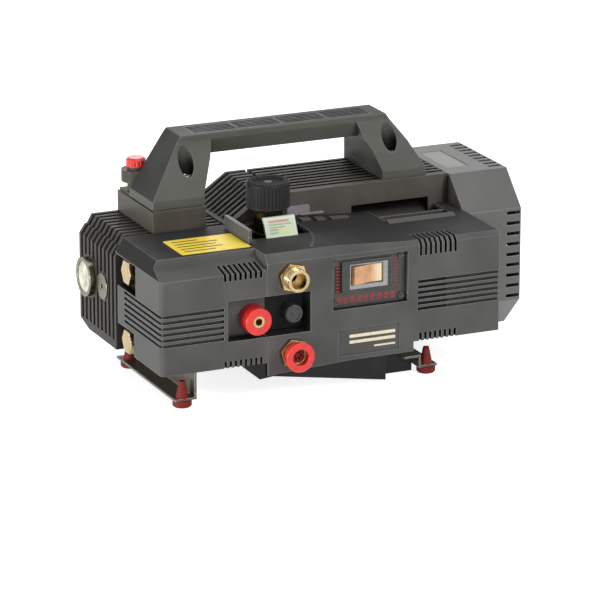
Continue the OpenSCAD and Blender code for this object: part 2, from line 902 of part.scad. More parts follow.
module handle_pedestal() {
    color(handle_grey) in_frame() difference() {
        union() {
            block(
                [left_leg_x, leg_front, crankcase_top],
                [left_leg_x + left_leg_w, back_y, pedestal_top - foot_gap]
            );
            block(
                [left_leg_x + foot_gap, leg_front + foot_gap, crankcase_top],
                [left_leg_x + left_leg_w - foot_gap, back_y, pedestal_top]
            );
            rod_z(pedestal_top, filler_neck_top, filler_neck_r, filler_x, filler_y);
            rod_z(filler_collar_low, filler_collar_top, filler_collar_r, filler_x, filler_y);
        }
        rod_z(crankcase_top - over, filler_neck_top + over, filler_bore_r, filler_x, filler_y);
        rod_z(crankcase_top + 4, pedestal_top + over, bracket_bolt_r, left_screw_x, handle_screw_y);
    }
}

// Folded sheet with a foot flange, a web and an upper flange; the flanges face away from each other
module left_foot_bracket() {
    web_end = left_web_x + sheet_t;
    flange_top = foot_h + sheet_t;
    color(zinc) in_frame() difference() {
        union() {
            block([left_flange_x, bracket_front, foot_h], [web_end, left_bracket_end, flange_top]);
            block([left_web_x, bracket_front, foot_h], [web_end, left_bracket_end, crankcase_bottom]);
            block(
                [left_web_x, cover_depth, crankcase_bottom - sheet_t],
                [left_upper_end, left_bracket_end, crankcase_bottom]
            );
        }
        for (p = foot_places) rod_z(foot_h - over, flange_top + over, foot_hole_r, p[0], p[1]);
        for (p = left_bolt_places)
            rod_z(flange_top + over, crankcase_bottom + over, bracket_bolt_r, p[0], p[1]);
    }
}

module right_foot_bracket() {
    web_end = right_web_x + sheet_t;
    flange_top = foot_h + sheet_t;
    upper_low = pad_low - sheet_t;
    color(zinc) in_frame() difference() {
        union() {
            block([right_web_x, bracket_front, foot_h], [right_flange_end, right_bracket_end, flange_top]);
            block([right_web_x, bracket_front, foot_h], [web_end, right_bracket_end, pad_low]);
            block([right_upper_x, bracket_front, upper_low], [web_end, right_bracket_end, pad_low]);
        }
        for (p = foot_places) rod_z(foot_h - over, flange_top + over, foot_hole_r, p[0], p[1]);
        for (p = right_bolt_places) rod_z(upper_low - over, pad_low + over, bracket_bolt_r, p[0], p[1]);
    }
}

module rubber_feet() {
    flange_top = foot_h + sheet_t;
    bevel = 1.5;
    neck_r = foot_hole_r - running_gap;
    barb_r = foot_hole_r + 2.5;
    tip_r = foot_hole_r - 1;
    color(dark_red) in_frame() for (p = foot_places) translate([p[0], p[1], 0]) rotate_extrude() polygon([
        [0, 0], [foot_r - bevel, 0], [foot_r, bevel], [foot_r, foot_h], [neck_r, foot_h],
        [neck_r, flange_top], [barb_r, flange_top], [tip_r, flange_top + foot_cone_h],
        [0, flange_top + foot_cone_h]
    ]);
}

// Wedge under the housing, with a scoop under the pump cover and a tray that ends under the right bracket
module base_pan() {
    seat_z = housing_bottom - housing_dip * (dip_end - pan_x) / (dip_end - cover_w);
    hollow_x = pan_x + pan_solid;
    hollow_low = pan_low_left - pan_solid * (pan_low_left - pan_low_right) / (pan_end - pan_x) + cover_wall;
    floor_z = pan_low_right + cover_wall;
    tray_x = pan_end - cover_wall;
    color(rubber_black) in_frame() difference() {
        union() {
            along_y(pan_front, pan_back) polygon([
                [pan_x, seat_z], [dip_end, housing_bottom], [pan_end, housing_bottom],
                [pan_end, pan_low_right], [pan_x, pan_low_left]
            ]);
            along_y(pan_front, pan_front + scoop_d) polygon([
                [scoop_x, cover_bottom - pass_gap], [cover_w - 2, cover_bottom - pass_gap],
                [cover_w - 2, housing_bottom - housing_dip - pass_gap], [pan_x, seat_z - pass_gap],
                [pan_x, pan_low_left], [scoop_low_x, pan_low_left - 1.5]
            ]);
            block([tray_x, tray_front, pan_low_right], [tray_high_end, pan_back, housing_bottom]);
            block([tray_x, tray_front, pan_low_right], [tray_low_end, pan_back, tray_low_top]);
        }
        along_y(pan_front + cover_wall, pan_back - cover_wall) polygon([
            [hollow_x, housing_bottom + over], [tray_x, housing_bottom + over],
            [tray_x, floor_z], [hollow_x, hollow_low]
        ]);
        block(
            [pan_end, tray_front + cover_wall, floor_z],
            [tray_high_end - cover_wall, pan_back - cover_wall, housing_bottom + over]
        );
    }
}

// Gaps between fins that stand across Y, cut between an outer and an inner outline in the XZ plane
module fin_gaps(y0, depth_y, count) {
    pitch = (depth_y - fin_t) / count;
    for (i = [0:count - 1]) along_y(y0 + fin_t + i * pitch, y0 + (i + 1) * pitch) children();
}

module crankcase_fin_band() {
    difference() {
        translate([-over, crankcase_bottom - over])
            square([crankcase_len + 2 * over, crankcase_top - crankcase_bottom + 2 * over]);
        polygon([
            [fin_depth, 0], [fin_depth, crankcase_top - end_chamfer_z - 0.35 * fin_depth],
            [end_chamfer_x + 0.5 * fin_depth, crankcase_top - fin_depth],
            [crankcase_len + 3 * over, crankcase_top - fin_depth], [crankcase_len + 3 * over, 0]
        ]);
    }
}

module crankcase() {
    cavity_front = cover_depth + case_wall;
    color(black_paint) in_frame() difference() {
        union() {
            difference() {
                along_y(cover_depth, back_y) polygon([
                    [0, crankcase_bottom], [0, crankcase_top - end_chamfer_z],
                    [end_chamfer_x / 2, crankcase_top - end_chamfer_z / 2],
                    [end_chamfer_x / 2 + fin_ledge, crankcase_top - end_chamfer_z / 2],
                    [end_chamfer_x + fin_ledge / 2, crankcase_top],
                    [crankcase_len, crankcase_top], [crankcase_len, crankcase_bottom]
                ]);
                fin_gaps(cover_depth, crankcase_d, fin_count) crankcase_fin_band();
                block(
                    [end_wall, cavity_front, cavity_low],
                    [crankcase_len - case_wall, back_y - case_wall - 2, cavity_high]
                );
            }
            along_x(0, skirt_t) polygon([
                [cover_depth, crankcase_bottom - skirt_drop],
                [back_y - skirt_corner, crankcase_bottom - skirt_drop],
                [back_y, crankcase_bottom], [back_y, crankcase_bottom + fin_t / 2],
                [cover_depth, crankcase_bottom + fin_t / 2]
            ]);
            rod_x(0, end_wall / 2, sight_r + boss_margin, sight_y, sight_z);
            rod_x(0, end_wall / 2, drain_r + boss_margin, drain_y, sight_z);
            for (x = bolt_xs) for (z = bolt_zs) rod_y(cover_depth, cavity_front + 8, bolt_r + 3, x, z);
        }
        for (x = plunger_xs)
            rod_y(cover_depth - over, cavity_front + over, plunger_r + running_gap, x, shaft_z);
        for (x = bolt_xs) for (z = bolt_zs) rod_y(cover_depth - over, cavity_front + 5, bolt_r, x, z);
        rod_x(crankcase_len - case_wall - over, crankcase_len + over, seal_r);
        rod_x(end_wall - end_bearing_w, end_wall + over, end_bearing_r);
        rod_x(end_wall - end_bearing_w - 3, end_wall, journal_r + 1);
        rod_x(-over, sight_spigot_len + over, sight_spigot_r, sight_y, sight_z);
        rod_x(sight_spigot_len, end_wall + over, sight_port_r, sight_y, sight_z);
        rod_x(-over, drain_spigot_len + over, drain_spigot_r, drain_y, sight_z);
        rod_z(cavity_high - over, crankcase_top + over, filler_bore_r, filler_x, filler_y);
        for (p = left_bolt_places) rod_z(crankcase_bottom - over, cavity_low - 2, bracket_bolt_r, p[0], p[1]);
    }
}

// Sloping finned shoulder that leads from the crankcase up to the motor's top
module shoulder_outline(t) {
    slope_start = crankcase_len + 5;
    slope_end = crankcase_len + 42;
    polygon([
        [crankcase_len - t, crankcase_bottom], [crankcase_len - t, cover_top - t],
        [slope_start + t, cover_top - t], [slope_end + 0.4 * t, motor_top - t],
        [shield_end + t, motor_top - t], [shield_end + t, crankcase_bottom]
    ]);
}

// The shoulder ends in a round flange that closes the motor casing
module pump_end_shield() {
    bell_r = 42;
    color(black_paint) in_frame() difference() {
        union() {
            along_y(cover_depth, block_back) shoulder_outline(0);
            intersection() {
                rod_x(shield_end - flange_t, shield_end, motor_r);
                block([crankcase_len, cover_depth, 0], [shield_end, shaft_y + motor_r, motor_top]);
            }
        }
        fin_gaps(cover_depth + fin_t, top_block_d - fin_t, fin_count) difference() {
            translate([crankcase_len - over, cover_top]) square([shield_len, motor_top - cover_top + over]);
            shoulder_outline(fin_depth);
        }
        block(
            [shield_end - 3, cover_depth + rail_d, motor_top - fin_depth],
            [shield_end + over, back_y, motor_top + over]
        );
        rod_x(drive_bearing_x, drive_bearing_x + drive_bearing_w, drive_bearing_r);
        rod_x(crankcase_len - over, shield_end, shaft_r + 2);
        rod_x(drive_bearing_x + drive_bearing_w, shield_end + over, bell_r);
    }
}

module motor_section(x0, x1) {
    rod_x(x0, x1, motor_r);
    block([x0, cover_depth, shaft_z], [x1, block_back, motor_top]);
}

// Room under the front rail, in front of the round casing
module rail_notch() {
    difference() {
        block([notch_x, cover_depth - over, shaft_z], [notch_end, shaft_y, rail_low]);
        rod_x(notch_x - over, notch_end + over, motor_r);
    }
}

module motor_casing() {
    back_fins = 7;
    fin_reach = 9;
    fin_root = 2;
    fin_inset = 2;
    first_fin_angle = -46;
    fin_step = 14;
    color(black_paint) in_frame() difference() {
        union() {
            motor_section(shield_end, casing_end);
            block([pad_x, pad_y, pad_low], [pad_x + pad_w, pad_y + pad_d, shaft_z]);
            at_shaft() for (i = [0:back_fins - 1]) rotate([first_fin_angle + i * fin_step, 0, 0])
                translate([shield_end + fin_inset, motor_r - fin_root, -fin_t / 2])
                    cube([casing_end - shield_end - 2 * fin_inset, fin_reach + fin_root, fin_t]);
        }
        rod_x(shield_end - over, casing_end + over, motor_bore_r);
        top_gaps(shield_end - over, casing_end + over);
        rail_notch();
        for (p = right_bolt_places)
            rod_z(pad_low - over, pad_low + pad_bolt_depth + over, bracket_bolt_r, p[0], p[1]);
        rod_z(motor_top - 16, motor_top + over, bracket_bolt_r, right_screw_x, handle_screw_y);
    }
}

// Gaps between the fins along the motor's top, behind a solid front rail
module top_gaps(x0, x1) {
    pitch = (top_block_d - rail_d) / fin_count;
    for (i = [0:fin_count - 1]) {
        y0 = cover_depth + rail_d + i * pitch;
        block([x0, y0, motor_top - fin_depth], [x1, y0 + pitch - fin_t, motor_top + over]);
    }
}

module fan_end_shield() {
    vent_holes = 8;
    vent_r = 9;
    spigot = 8;
    color(black_paint) in_frame() difference() {
        union() {
            motor_section(casing_end, housing_end);
            ring_x(casing_end - spigot, casing_end, motor_bore_r, motor_bore_r - 5);
            rod_x(casing_end - spigot, housing_end + plate_octagon_t, hub_r);
            hood_shell(housing_end, housing_end + plate_octagon_t, hood_wall);
        }
        top_gaps(casing_end - over, housing_end);
        rod_x(fan_bearing_x, housing_end + plate_octagon_t + over, drive_bearing_r);
        rod_x(casing_end - spigot - over, fan_bearing_x + over, shaft_r + 2);
        at_shaft() for (i = [0:vent_holes - 1]) rotate([(i + 0.5) * 360 / vent_holes, 0, 0])
            translate([housing_end - flange_t - over, 0, motor_r + vent_r + 1]) rotate([0, 90, 0])
                cylinder(h = flange_t + plate_octagon_t + 2 * over, r = vent_r);
    }
}

module panel_screws() {
    head_h = 2;
    cross = [4, 2, 0.9];
    color(zinc) in_frame() for (p = recess_screw_places) difference() {
        union() {
            rod_y(switch_recess - head_h, switch_recess, screw_head_r, p[0], p[1]);
            rod_y(switch_recess, switch_recess + cover_wall + 4, screw_head_r / 2, p[0], p[1]);
        }
        translate([p[0], switch_recess - head_h, p[1]])
            for (a = [0, 90]) rotate([0, a, 0]) cube(cross, center = true);
    }
}

module handle_screws() {
    head_h = 5;
    head_r = 5.5;
    color(zinc) in_frame() for (x = [left_screw_x, right_screw_x]) difference() {
        union() {
            rod_z(screw_seat, screw_seat + head_h, head_r, x, handle_screw_y);
            rod_z(motor_top - 14, screw_seat, bracket_bolt_r, x, handle_screw_y);
        }
        translate([x, handle_screw_y, screw_seat + 2]) hexagon(head_h, 5);
    }
}

module hex_bolt_up(p, seat, reach) {
    head_h = 4.5;
    translate([p[0], p[1], seat - head_h]) hexagon(head_h, 3.4 * bracket_bolt_r);
    rod_z(seat, seat + reach, bracket_bolt_r, p[0], p[1]);
}

module bracket_bolts() {
    color(zinc) in_frame() {
        for (p = left_bolt_places) hex_bolt_up(p, crankcase_bottom - sheet_t, sheet_t + 6);
        for (p = right_bolt_places) hex_bolt_up(p, pad_low - sheet_t, sheet_t + pad_bolt_depth);
    }
}

module stator_core() {
    color(steel) in_frame() ring_x(stator_x, stator_x + stator_len, motor_bore_r, rotor_r + air_gap);
}

module stator_windings() {
    inner_r = rotor_r + 3;
    outer_r = motor_bore_r - 5;
    color(copper) in_frame() {
        ring_x(stator_x - winding_len, stator_x, outer_r, inner_r);
        ring_x(stator_x + stator_len, stator_x + stator_len + winding_len, outer_r, inner_r);
    }
}

module rotor_core() {
    color(steel) in_frame() ring_x(stator_x - 2, stator_x + stator_len + 2, rotor_r, shaft_r);
}

// The three eccentrics stand a third of a turn apart
module eccentric(i, x, r, w) {
    a = 120 * i;
    rod_x(x - w / 2, x + w / 2, r, shaft_y + crank_throw * cos(a), shaft_z + crank_throw * sin(a));
}

module motor_shaft() {
    color(steel) in_frame() {
        rod_x(end_wall - end_bearing_w - 2, end_wall + 2, journal_r);
        rod_x(end_wall + 1, fan_x + fan_w + 2, shaft_r);
        for (i = [0:2]) eccentric(i, plunger_xs[i], eccentric_r, eccentric_w);
    }
}

module eccentric_bearings() {
    color(steel) in_frame() for (i = [0:2]) difference() {
        eccentric(i, plunger_xs[i], eccentric_ring_r, eccentric_w - 2);
        eccentric(i, plunger_xs[i], eccentric_r, eccentric_w);
    }
}

module cooling_fan() {
    hub_outer = 18;
    color(rubber_black) in_frame() {
        ring_x(fan_x, fan_x + fan_w, hub_outer, shaft_r);
        ring_x(fan_x, fan_x + 2, fan_r, shaft_r);
        at_shaft() for (i = [0:blade_count - 1]) rotate([i * 360 / blade_count, 0, 0])
            translate([fan_x, -1.5, hub_outer - 1]) cube([fan_w, 3, fan_r - hub_outer]);
    }
}

module shaft_bearings() {
    color(steel) in_frame() {
        ring_x(end_wall - end_bearing_w, end_wall, end_bearing_r, journal_r + running_gap);
        ring_x(drive_bearing_x, drive_bearing_x + drive_bearing_w, drive_bearing_r, shaft_r + running_gap);
        ring_x(fan_bearing_x, fan_bearing_x + fan_bearing_w, drive_bearing_r, shaft_r + running_gap);
    }
}

module shaft_seal() {
    color(rubber_black) in_frame()
        ring_x(crankcase_len - case_wall, crankcase_len, seal_r, shaft_r + running_gap);
}

module run_capacitor() {
    can_end = cap_x + cap_len;
    lid_t = 4;
    tab = [cap_tab_len, cap_tab_w, 1];
    tab_dy = 7;
    color(steel) in_frame() {
        rod_x(cap_x, can_end - lid_t, cap_r, cap_y, cap_axis_z());
        rod_x(can_end - lid_t, can_end, cap_r - 3, cap_y, cap_axis_z());
        for (s = [-1, 1]) translate([can_end, cap_y + s * tab_dy - tab[1] / 2, cap_axis_z() - tab[2] / 2])
            cube(tab);
    }
}

module pump_head() {
    color(brass) in_frame() difference() {
        block([head_left, head_front, head_low], [head_right, cover_depth, head_high]);
        for (z = gallery_zs) rod_x(head_left - over, head_right + over, gallery_r, gallery_y, z);
        for (x = plunger_xs) {
            rod_z(gallery_low_z, gallery_up_z, valve_r, x, gallery_y);
            rod_y(plunger_front - chamber_room, cover_depth + over, seal_bore_r, x, shaft_z);
        }
        for (x = bolt_xs) for (z = bolt_zs) rod_y(head_front - over, cover_depth + over, bolt_r, x, z);
        rod_y(head_front - over, nipple_end, detergent_nipple_r, detergent_x, detergent_z);
    }
}

module head_bolts() {
    color(zinc) in_frame() for (x = bolt_xs) for (z = bolt_zs) {
        rod_y(head_front - bolt_head_h, head_front, 1.6 * bolt_r, x, z);
        rod_y(head_front, cover_depth + case_wall + 4, bolt_r, x, z);
    }
}

module plunger(i) {
    color(steel) in_frame() {
        rod_y(plunger_front, plunger_back, plunger_r, plunger_xs[i], shaft_z);
        rod_y(plunger_back - plunger_flange_t, plunger_back, plunger_flange_r, plunger_xs[i], shaft_z);
    }
}

module plunger_1() { plunger(0); }

module plunger_2() { plunger(1); }

module plunger_3() { plunger(2); }

module plunger_springs() {
    seat = cover_depth + case_wall;
    free = plunger_back - plunger_flange_t - crank_throw - spring_gap - seat;
    color(steel) in_frame() for (x = plunger_xs) translate([x, seat, shaft_z]) rotate([-90, 0, 0])
        coil(plunger_r + 1.5 + spring_wire_r, spring_wire_r, free, 3);
}

module plunger_seals() {
    seal_len = 12;
    seal_back = cover_depth - 2;
    color(rubber_black) in_frame() for (x = plunger_xs) difference() {
        rod_y(seal_back - seal_len, seal_back, seal_bore_r, x, shaft_z);
        rod_y(seal_back - seal_len - over, seal_back + over, plunger_r + running_gap, x, shaft_z);
    }
}

module valve_cartridges() {
    color(brass) in_frame() for (x = plunger_xs) for (s = [-1, 1]) difference() {
        z_mid = shaft_z + s * (seal_bore_r + valve_len / 2 + 2);
        rod_z(z_mid - valve_len / 2, z_mid + valve_len / 2, valve_r, x, gallery_y);
        rod_z(z_mid - valve_len, z_mid + valve_len, valve_r / 2, x, gallery_y);
    }
}

module gallery_plugs() {
    hex_out = 10;
    color(brass) in_frame() for (z = gallery_zs) {
        translate([head_left - hex_out, gallery_y, z]) rotate([0, 90, 0]) rotate(30)
            hexagon(hex_out, plug_af);
        rod_x(head_left - hex_out / 2, head_left + 12, gallery_r, gallery_y, z);
    }
}

module sight_glass_bezel() {
    color(zinc) in_frame() difference() {
        union() {
            rod_x(-sight_proud, 0, sight_r, sight_y, sight_z);
            rod_x(0, sight_spigot_len, sight_spigot_r, sight_y, sight_z);
        }
        rod_x(-sight_proud - over, -lens_seat, lens_r, sight_y, sight_z);
        rod_x(-lens_seat - over, sight_spigot_len + over, sight_spigot_r - 4, sight_y, sight_z);
    }
}

module sight_glass() {
    color("#dfe6d2") in_frame() rod_x(1 - sight_proud, -lens_seat, lens_r, sight_y, sight_z);
}

module drain_plug() {
    color(zinc) in_frame() difference() {
        union() {
            rod_x(-drain_proud, 0, drain_r, drain_y, sight_z);
            rod_x(0, drain_spigot_len, drain_spigot_r, drain_y, sight_z);
        }
        translate([-drain_proud - over, drain_y, sight_z]) rotate([0, 90, 0]) hexagon(5, 5);
    }
}

module valve_block() {
    spigot = 8;
    color(brass) in_frame() difference() {
        union() {
            block([block_x, block_front, block_low], [block_end, block_back_y, block_high]);
            for (z = gallery_zs) rod_x(head_right - spigot, block_x, gallery_r, gallery_y, z);
        }
        for (z = gallery_zs) rod_x(head_right - spigot - over, inlet_x, gallery_r - 3, gallery_y, z);
        rod_y(block_front - over, block_front + shank_seat, fitting_shank_r, outlet_x, outlet_z);
        rod_y(block_front - over, gallery_y, gallery_r - 3, outlet_x, outlet_z);
        rod_y(block_front - over, block_front + shank_seat, fitting_shank_r, inlet_x, inlet_z);
        rod_y(block_front - over, gallery_y, gallery_r - 3, inlet_x, inlet_z);
        rod_z(piston_step, block_high + over, unloader_bore_r, reg_x, reg_y);
        rod_z(piston_low - 5, piston_step + over, piston_r + running_gap, reg_x, reg_y);
    }
}

module fitting_hex(x, z) {
    translate([x, hex_front, z]) rotate([-90, 0, 0]) rotate(hex_turn)
        hexagon(hex_back - hex_front, fitting_af);
}

module outlet_fitting() {
    color(brass) in_frame() difference() {
        union() {
            rod_y(-outlet_reach, hex_front, outlet_r, outlet_x, outlet_z);
            fitting_hex(outlet_x, outlet_z);
            rod_y(hex_back, block_front + shank_seat, fitting_shank_r, outlet_x, outlet_z);
        }
        rod_y(-outlet_reach - over, 0, outlet_bore_r, outlet_x, outlet_z);
        rod_y(-over, block_front + shank_seat + over, gallery_r - 3, outlet_x, outlet_z);
    }
}

module inlet_fitting() {
    color(brass) in_frame() difference() {
        union() {
            rod_y(inlet_tube_front, hex_front, inlet_tube_r, inlet_x, inlet_z);
            fitting_hex(inlet_x, inlet_z);
            rod_y(hex_back, block_front + shank_seat, fitting_shank_r, inlet_x, inlet_z);
        }
        rod_y(inlet_tube_front - over, 0, strainer_r, inlet_x, inlet_z);
        rod_y(
            inlet_tube_front - over, inlet_tube_front + strainer_sink + strainer_flange_t,
            strainer_flange_r + running_gap, inlet_x, inlet_z
        );
        rod_y(-over, block_front + shank_seat + over, gallery_r - 3, inlet_x, inlet_z);
    }
}

// Wide rim at the front, narrow neck behind it and a lip that hides the end of the tube
module inlet_collar() {
    edge = 1;
    rim_back = 3.5 - inlet_reach;
    neck_r = inlet_tube_r + 2;
    neck_back = hex_front - 1;
    bore_r = inlet_tube_r + running_gap;
    color(signal_red) in_frame() turned_y(inlet_x, inlet_z) polygon([
        [inlet_bore_r, -inlet_reach], [collar_r - edge, -inlet_reach], [collar_r, edge - inlet_reach],
        [collar_r, rim_back], [neck_r, rim_back + 2], [neck_r, neck_back], [bore_r, neck_back],
        [bore_r, inlet_tube_front - running_gap], [inlet_bore_r, inlet_tube_front - running_gap]
    ]);
}

// Cup in the tube with a flange in front of it
module inlet_strainer() {
    cup_wall = 1.5;
    holes = 6;
    face = inlet_tube_front + strainer_sink;
    color(steel) in_frame() difference() {
        union() {
            rod_y(face, face + strainer_flange_t, strainer_flange_r, inlet_x, inlet_z);
            rod_y(face, 0, strainer_r, inlet_x, inlet_z);
        }
        rod_y(face + cup_wall, over, strainer_r - cup_wall, inlet_x, inlet_z);
        for (i = [0:holes - 1]) translate([inlet_x, 0, inlet_z]) rotate([0, i * 360 / holes, 0])
            rod_y(face - over, face + cup_wall + over, 1, strainer_r / 2, 0);
    }
}

module regulator_bonnet() {
    flange_h = 4;
    color(brass) in_frame() difference() {
        union() {
            rod_z(block_high, bonnet_top, bonnet_r, reg_x, reg_y);
            rod_z(block_high, block_high + flange_h, bonnet_r + 4, reg_x, reg_y);
        }
        rod_z(block_high - over, bonnet_top - bonnet_roof, bonnet_bore_r, reg_x, reg_y);
        rod_z(block_high, bonnet_top + over, spindle_r + running_gap, reg_x, reg_y);
    }
}

module regulator_knob() {
    ribs = 36;
    rim = 2;
    cap_h = 6;
    low_edge = 1;
    rim_w = 6;
    dish_floor = pressure_knob_h - knob_dish;
    color(rubber_black) in_frame() translate([reg_x, reg_y, knob_low]) difference() {
        rotate_extrude() polygon([
            [spindle_r, 0], [pressure_knob_r - low_edge, 0], [pressure_knob_r, low_edge],
            [pressure_knob_r, pressure_knob_h - rim], [pressure_knob_r - rim, pressure_knob_h],
            [pressure_knob_r - rim_w, pressure_knob_h], [pressure_knob_r - rim_w - 1, dish_floor],
            [spindle_r, dish_floor]
        ]);
        for (i = [0:ribs - 1]) rotate([0, 0, i * 360 / ribs])
            translate([pressure_knob_r + 0.4, 0, rim]) cylinder(h = pressure_knob_h - cap_h, r = 1.3);
    }
}

module regulator_spindle() {
    low = seat_top - seat_t - spindle_reach;
    color(steel) in_frame() rod_z(low, knob_low + pressure_knob_h - knob_dish, spindle_r, reg_x, reg_y);
}

module spring_seat() {
    color(brass) in_frame() difference() {
        rod_z(seat_top - seat_t, seat_top, bonnet_bore_r - 2 * running_gap, reg_x, reg_y);
        rod_z(seat_top - seat_t - over, seat_top + over, spindle_r + running_gap, reg_x, reg_y);
    }
}

module unloader_spring() {
    low = piston_step + piston_head_t;
    color(steel) in_frame() translate([reg_x, reg_y, low])
        coil(piston_head_r - 0.5 - unloader_wire_r, unloader_wire_r, seat_top - seat_t - low, unloader_turns);
}

module unloader_piston() {
    color(steel) in_frame() {
        rod_z(piston_step, piston_step + piston_head_t, piston_head_r, reg_x, reg_y);
        rod_z(piston_low, piston_step, piston_r, reg_x, reg_y);
    }
}

module pressure_plate() {
    foot_y = opening_y - plate_t - 0.5;
    color("#bfcfb5") in_frame() along_x(plate_x, plate_x + plate_w) polygon([
        [foot_y, housing_top], [foot_y + plate_t, housing_top], [foot_y + plate_t + plate_lean, plate_top],
        [foot_y + plate_lean, plate_top]
    ]);
}

module detergent_nipple() {
    barb_end = pocket_depth;
    color(brass) in_frame() difference() {
        rod_y(detergent_knob_front + 0.5, nipple_end, detergent_nipple_r, detergent_x, detergent_z);
        rod_y(detergent_knob_front - over, barb_end, detergent_bore_r, detergent_x, detergent_z);
        rod_y(barb_end - over, nipple_end + over, detergent_bore_r - 1, detergent_x, detergent_z);
    }
}

module detergent_knob() {
    edge = 1.2;
    front = detergent_knob_front;
    knob_back = pocket_depth - 1;
    bore_r = detergent_nipple_r + running_gap;
    color(signal_red) in_frame() turned_y(detergent_x, detergent_z) polygon([
        [bore_r, front], [detergent_knob_r - edge, front], [detergent_knob_r, front + edge],
        [detergent_knob_r, knob_back], [bore_r, knob_back]
    ]);
}

module switch_body() {
    pin_half = rocker_h / 2 + trunnion_len;
    color(rubber_black) in_frame() difference() {
        block(
            [switch_x - switch_body_w / 2, switch_recess, switch_z - switch_body_h / 2],
            [switch_x + switch_body_w / 2, switch_recess + switch_body_d, switch_z + switch_body_h / 2]
        );
        rocker_room_block(switch_recess - over, switch_recess + rocker_well);
        translate([switch_x, rocker_pivot_y, switch_z - pin_half - rocker_end_gap])
            cylinder(h = 2 * (pin_half + rocker_end_gap), r = trunnion_r + running_gap);
    }
}

module rocker_room_block(y0, y1) {
    half_w = rocker_w / 2 + rocker_room;
    half_h = rocker_h / 2 + rocker_end_gap;
    block([switch_x - half_w, y0, switch_z - half_h], [switch_x + half_w, y1, switch_z + half_h]);
}

module switch_bezel() {
    color("#4a4d4c") in_frame() difference() {
        block(
            [switch_x - bezel_w / 2, switch_recess - bezel_t, bezel_low],
            [switch_x + bezel_w / 2, switch_recess, bezel_high]
        );
        rocker_room_block(switch_recess - bezel_t - over, switch_recess + over);
    }
}

module switch_rocker() {
    half = rocker_w / 2;
    rise = 7;
    dip = 1.6;
    shoulder = 3;
    skirt = 6;
    color("#d9ae80") in_frame() translate([switch_x, rocker_pivot_y, switch_z - rocker_h / 2])
        rotate([0, 0, rocker_tilt]) {
            linear_extrude(rocker_h) polygon([
                [-half, -rise], [0, -rise + dip], [half, -rise],
                [half, shoulder], [skirt, skirt], [-skirt, skirt], [-half, shoulder]
            ]);
            translate([0, 0, -trunnion_len]) cylinder(h = rocker_h + 2 * trunnion_len, r = trunnion_r);
        }
}

module reset_button() {
    tub_floor = button_pocket_depth + pocket_wall;
    color(rubber_black) in_frame() {
        rod_y(button_front, tub_floor - 1, reset_button_r, button_x, button_z);
        rod_y(tub_floor - 1, tub_floor + 2.5, reset_button_r - 2, button_x, button_z);
    }
}

module overload_breaker() {
    neck_start = button_pocket_depth + pocket_wall;
    neck = 6.5;
    half = 12;
    body_d = 18;
    color(rubber_black) in_frame() difference() {
        union() {
            rod_y(neck_start, neck_start + neck, reset_button_r + 2.5, button_x, button_z);
            block(
                [button_x - half, neck_start + neck, button_z - half],
                [button_x + half, neck_start + neck + body_d, button_z + half]
            );
        }
        rod_y(neck_start - over, neck_start + neck + 2, reset_button_r + pass_gap, button_x, button_z);
    }
}

module cable_gland() {
    floor_z = housing_bottom + housing_step;
    outer_nut_h = 8;
    outer_nut_af = 22;
    inner_nut_h = 6;
    inner_nut_af = 20;
    length = outer_nut_h + cover_wall + inner_nut_h;
    cable_r = 4.5;
    color(rubber_black) in_frame() translate([gland_x, gland_y, floor_z - outer_nut_h]) difference() {
        union() {
            rotate(30) hexagon(outer_nut_h, outer_nut_af);
            cylinder(h = length, r = gland_r);
            translate([0, 0, outer_nut_h + cover_wall]) rotate(30) hexagon(inner_nut_h, inner_nut_af);
        }
        translate([0, 0, -over]) cylinder(h = length + 2 * over, r = cable_r);
    }
}

module filler_cap() {
    grips = 16;
    notch_low = 1.5;
    plug_len = 10;
    bevel = 2;
    color(signal_red) in_frame() translate([filler_x, filler_y, filler_neck_top]) difference() {
        union() {
            cylinder(h = filler_cap_h - bevel, r = filler_cap_r);
            translate([0, 0, filler_cap_h - bevel])
                cylinder(h = bevel, r1 = filler_cap_r, r2 = filler_cap_r - bevel);
            translate([0, 0, -plug_len]) cylinder(h = plug_len, r = filler_bore_r - running_gap);
        }
        for (i = [0:grips - 1]) rotate([0, 0, i * 360 / grips])
            translate([filler_cap_r + 0.5, 0, notch_low]) cylinder(h = filler_cap_h - 2 * bevel, r = 1.2);
    }
}

pump_cover();
front_housing();
fan_hood();
handle();
grip_cover();
handle_pedestal();
left_foot_bracket();
right_foot_bracket();
rubber_feet();
base_pan();
crankcase();
pump_end_shield();
motor_casing();
fan_end_shield();
panel_screws();
handle_screws();
bracket_bolts();
stator_core();
stator_windings();
rotor_core();
motor_shaft();
cooling_fan();
shaft_bearings();
shaft_seal();
run_capacitor();
pump_head();
head_bolts();
plunger_1();
plunger_2();
plunger_3();
plunger_springs();
plunger_seals();
eccentric_bearings();
valve_cartridges();
gallery_plugs();
sight_glass();
sight_glass_bezel();
drain_plug();
valve_block();
outlet_fitting();
inlet_fitting();
inlet_collar();
inlet_strainer();
regulator_bonnet();
regulator_knob();
regulator_spindle();
spring_seat();
unloader_spring();
unloader_piston();
pressure_plate();
detergent_nipple();
detergent_knob();
switch_body();
switch_bezel();
switch_rocker();
reset_button();
overload_breaker();
cable_gland();
filler_cap();
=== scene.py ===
"""Looks of a portable pressure washer: camera, studio light, materials and the small pieces on its covers."""

import math

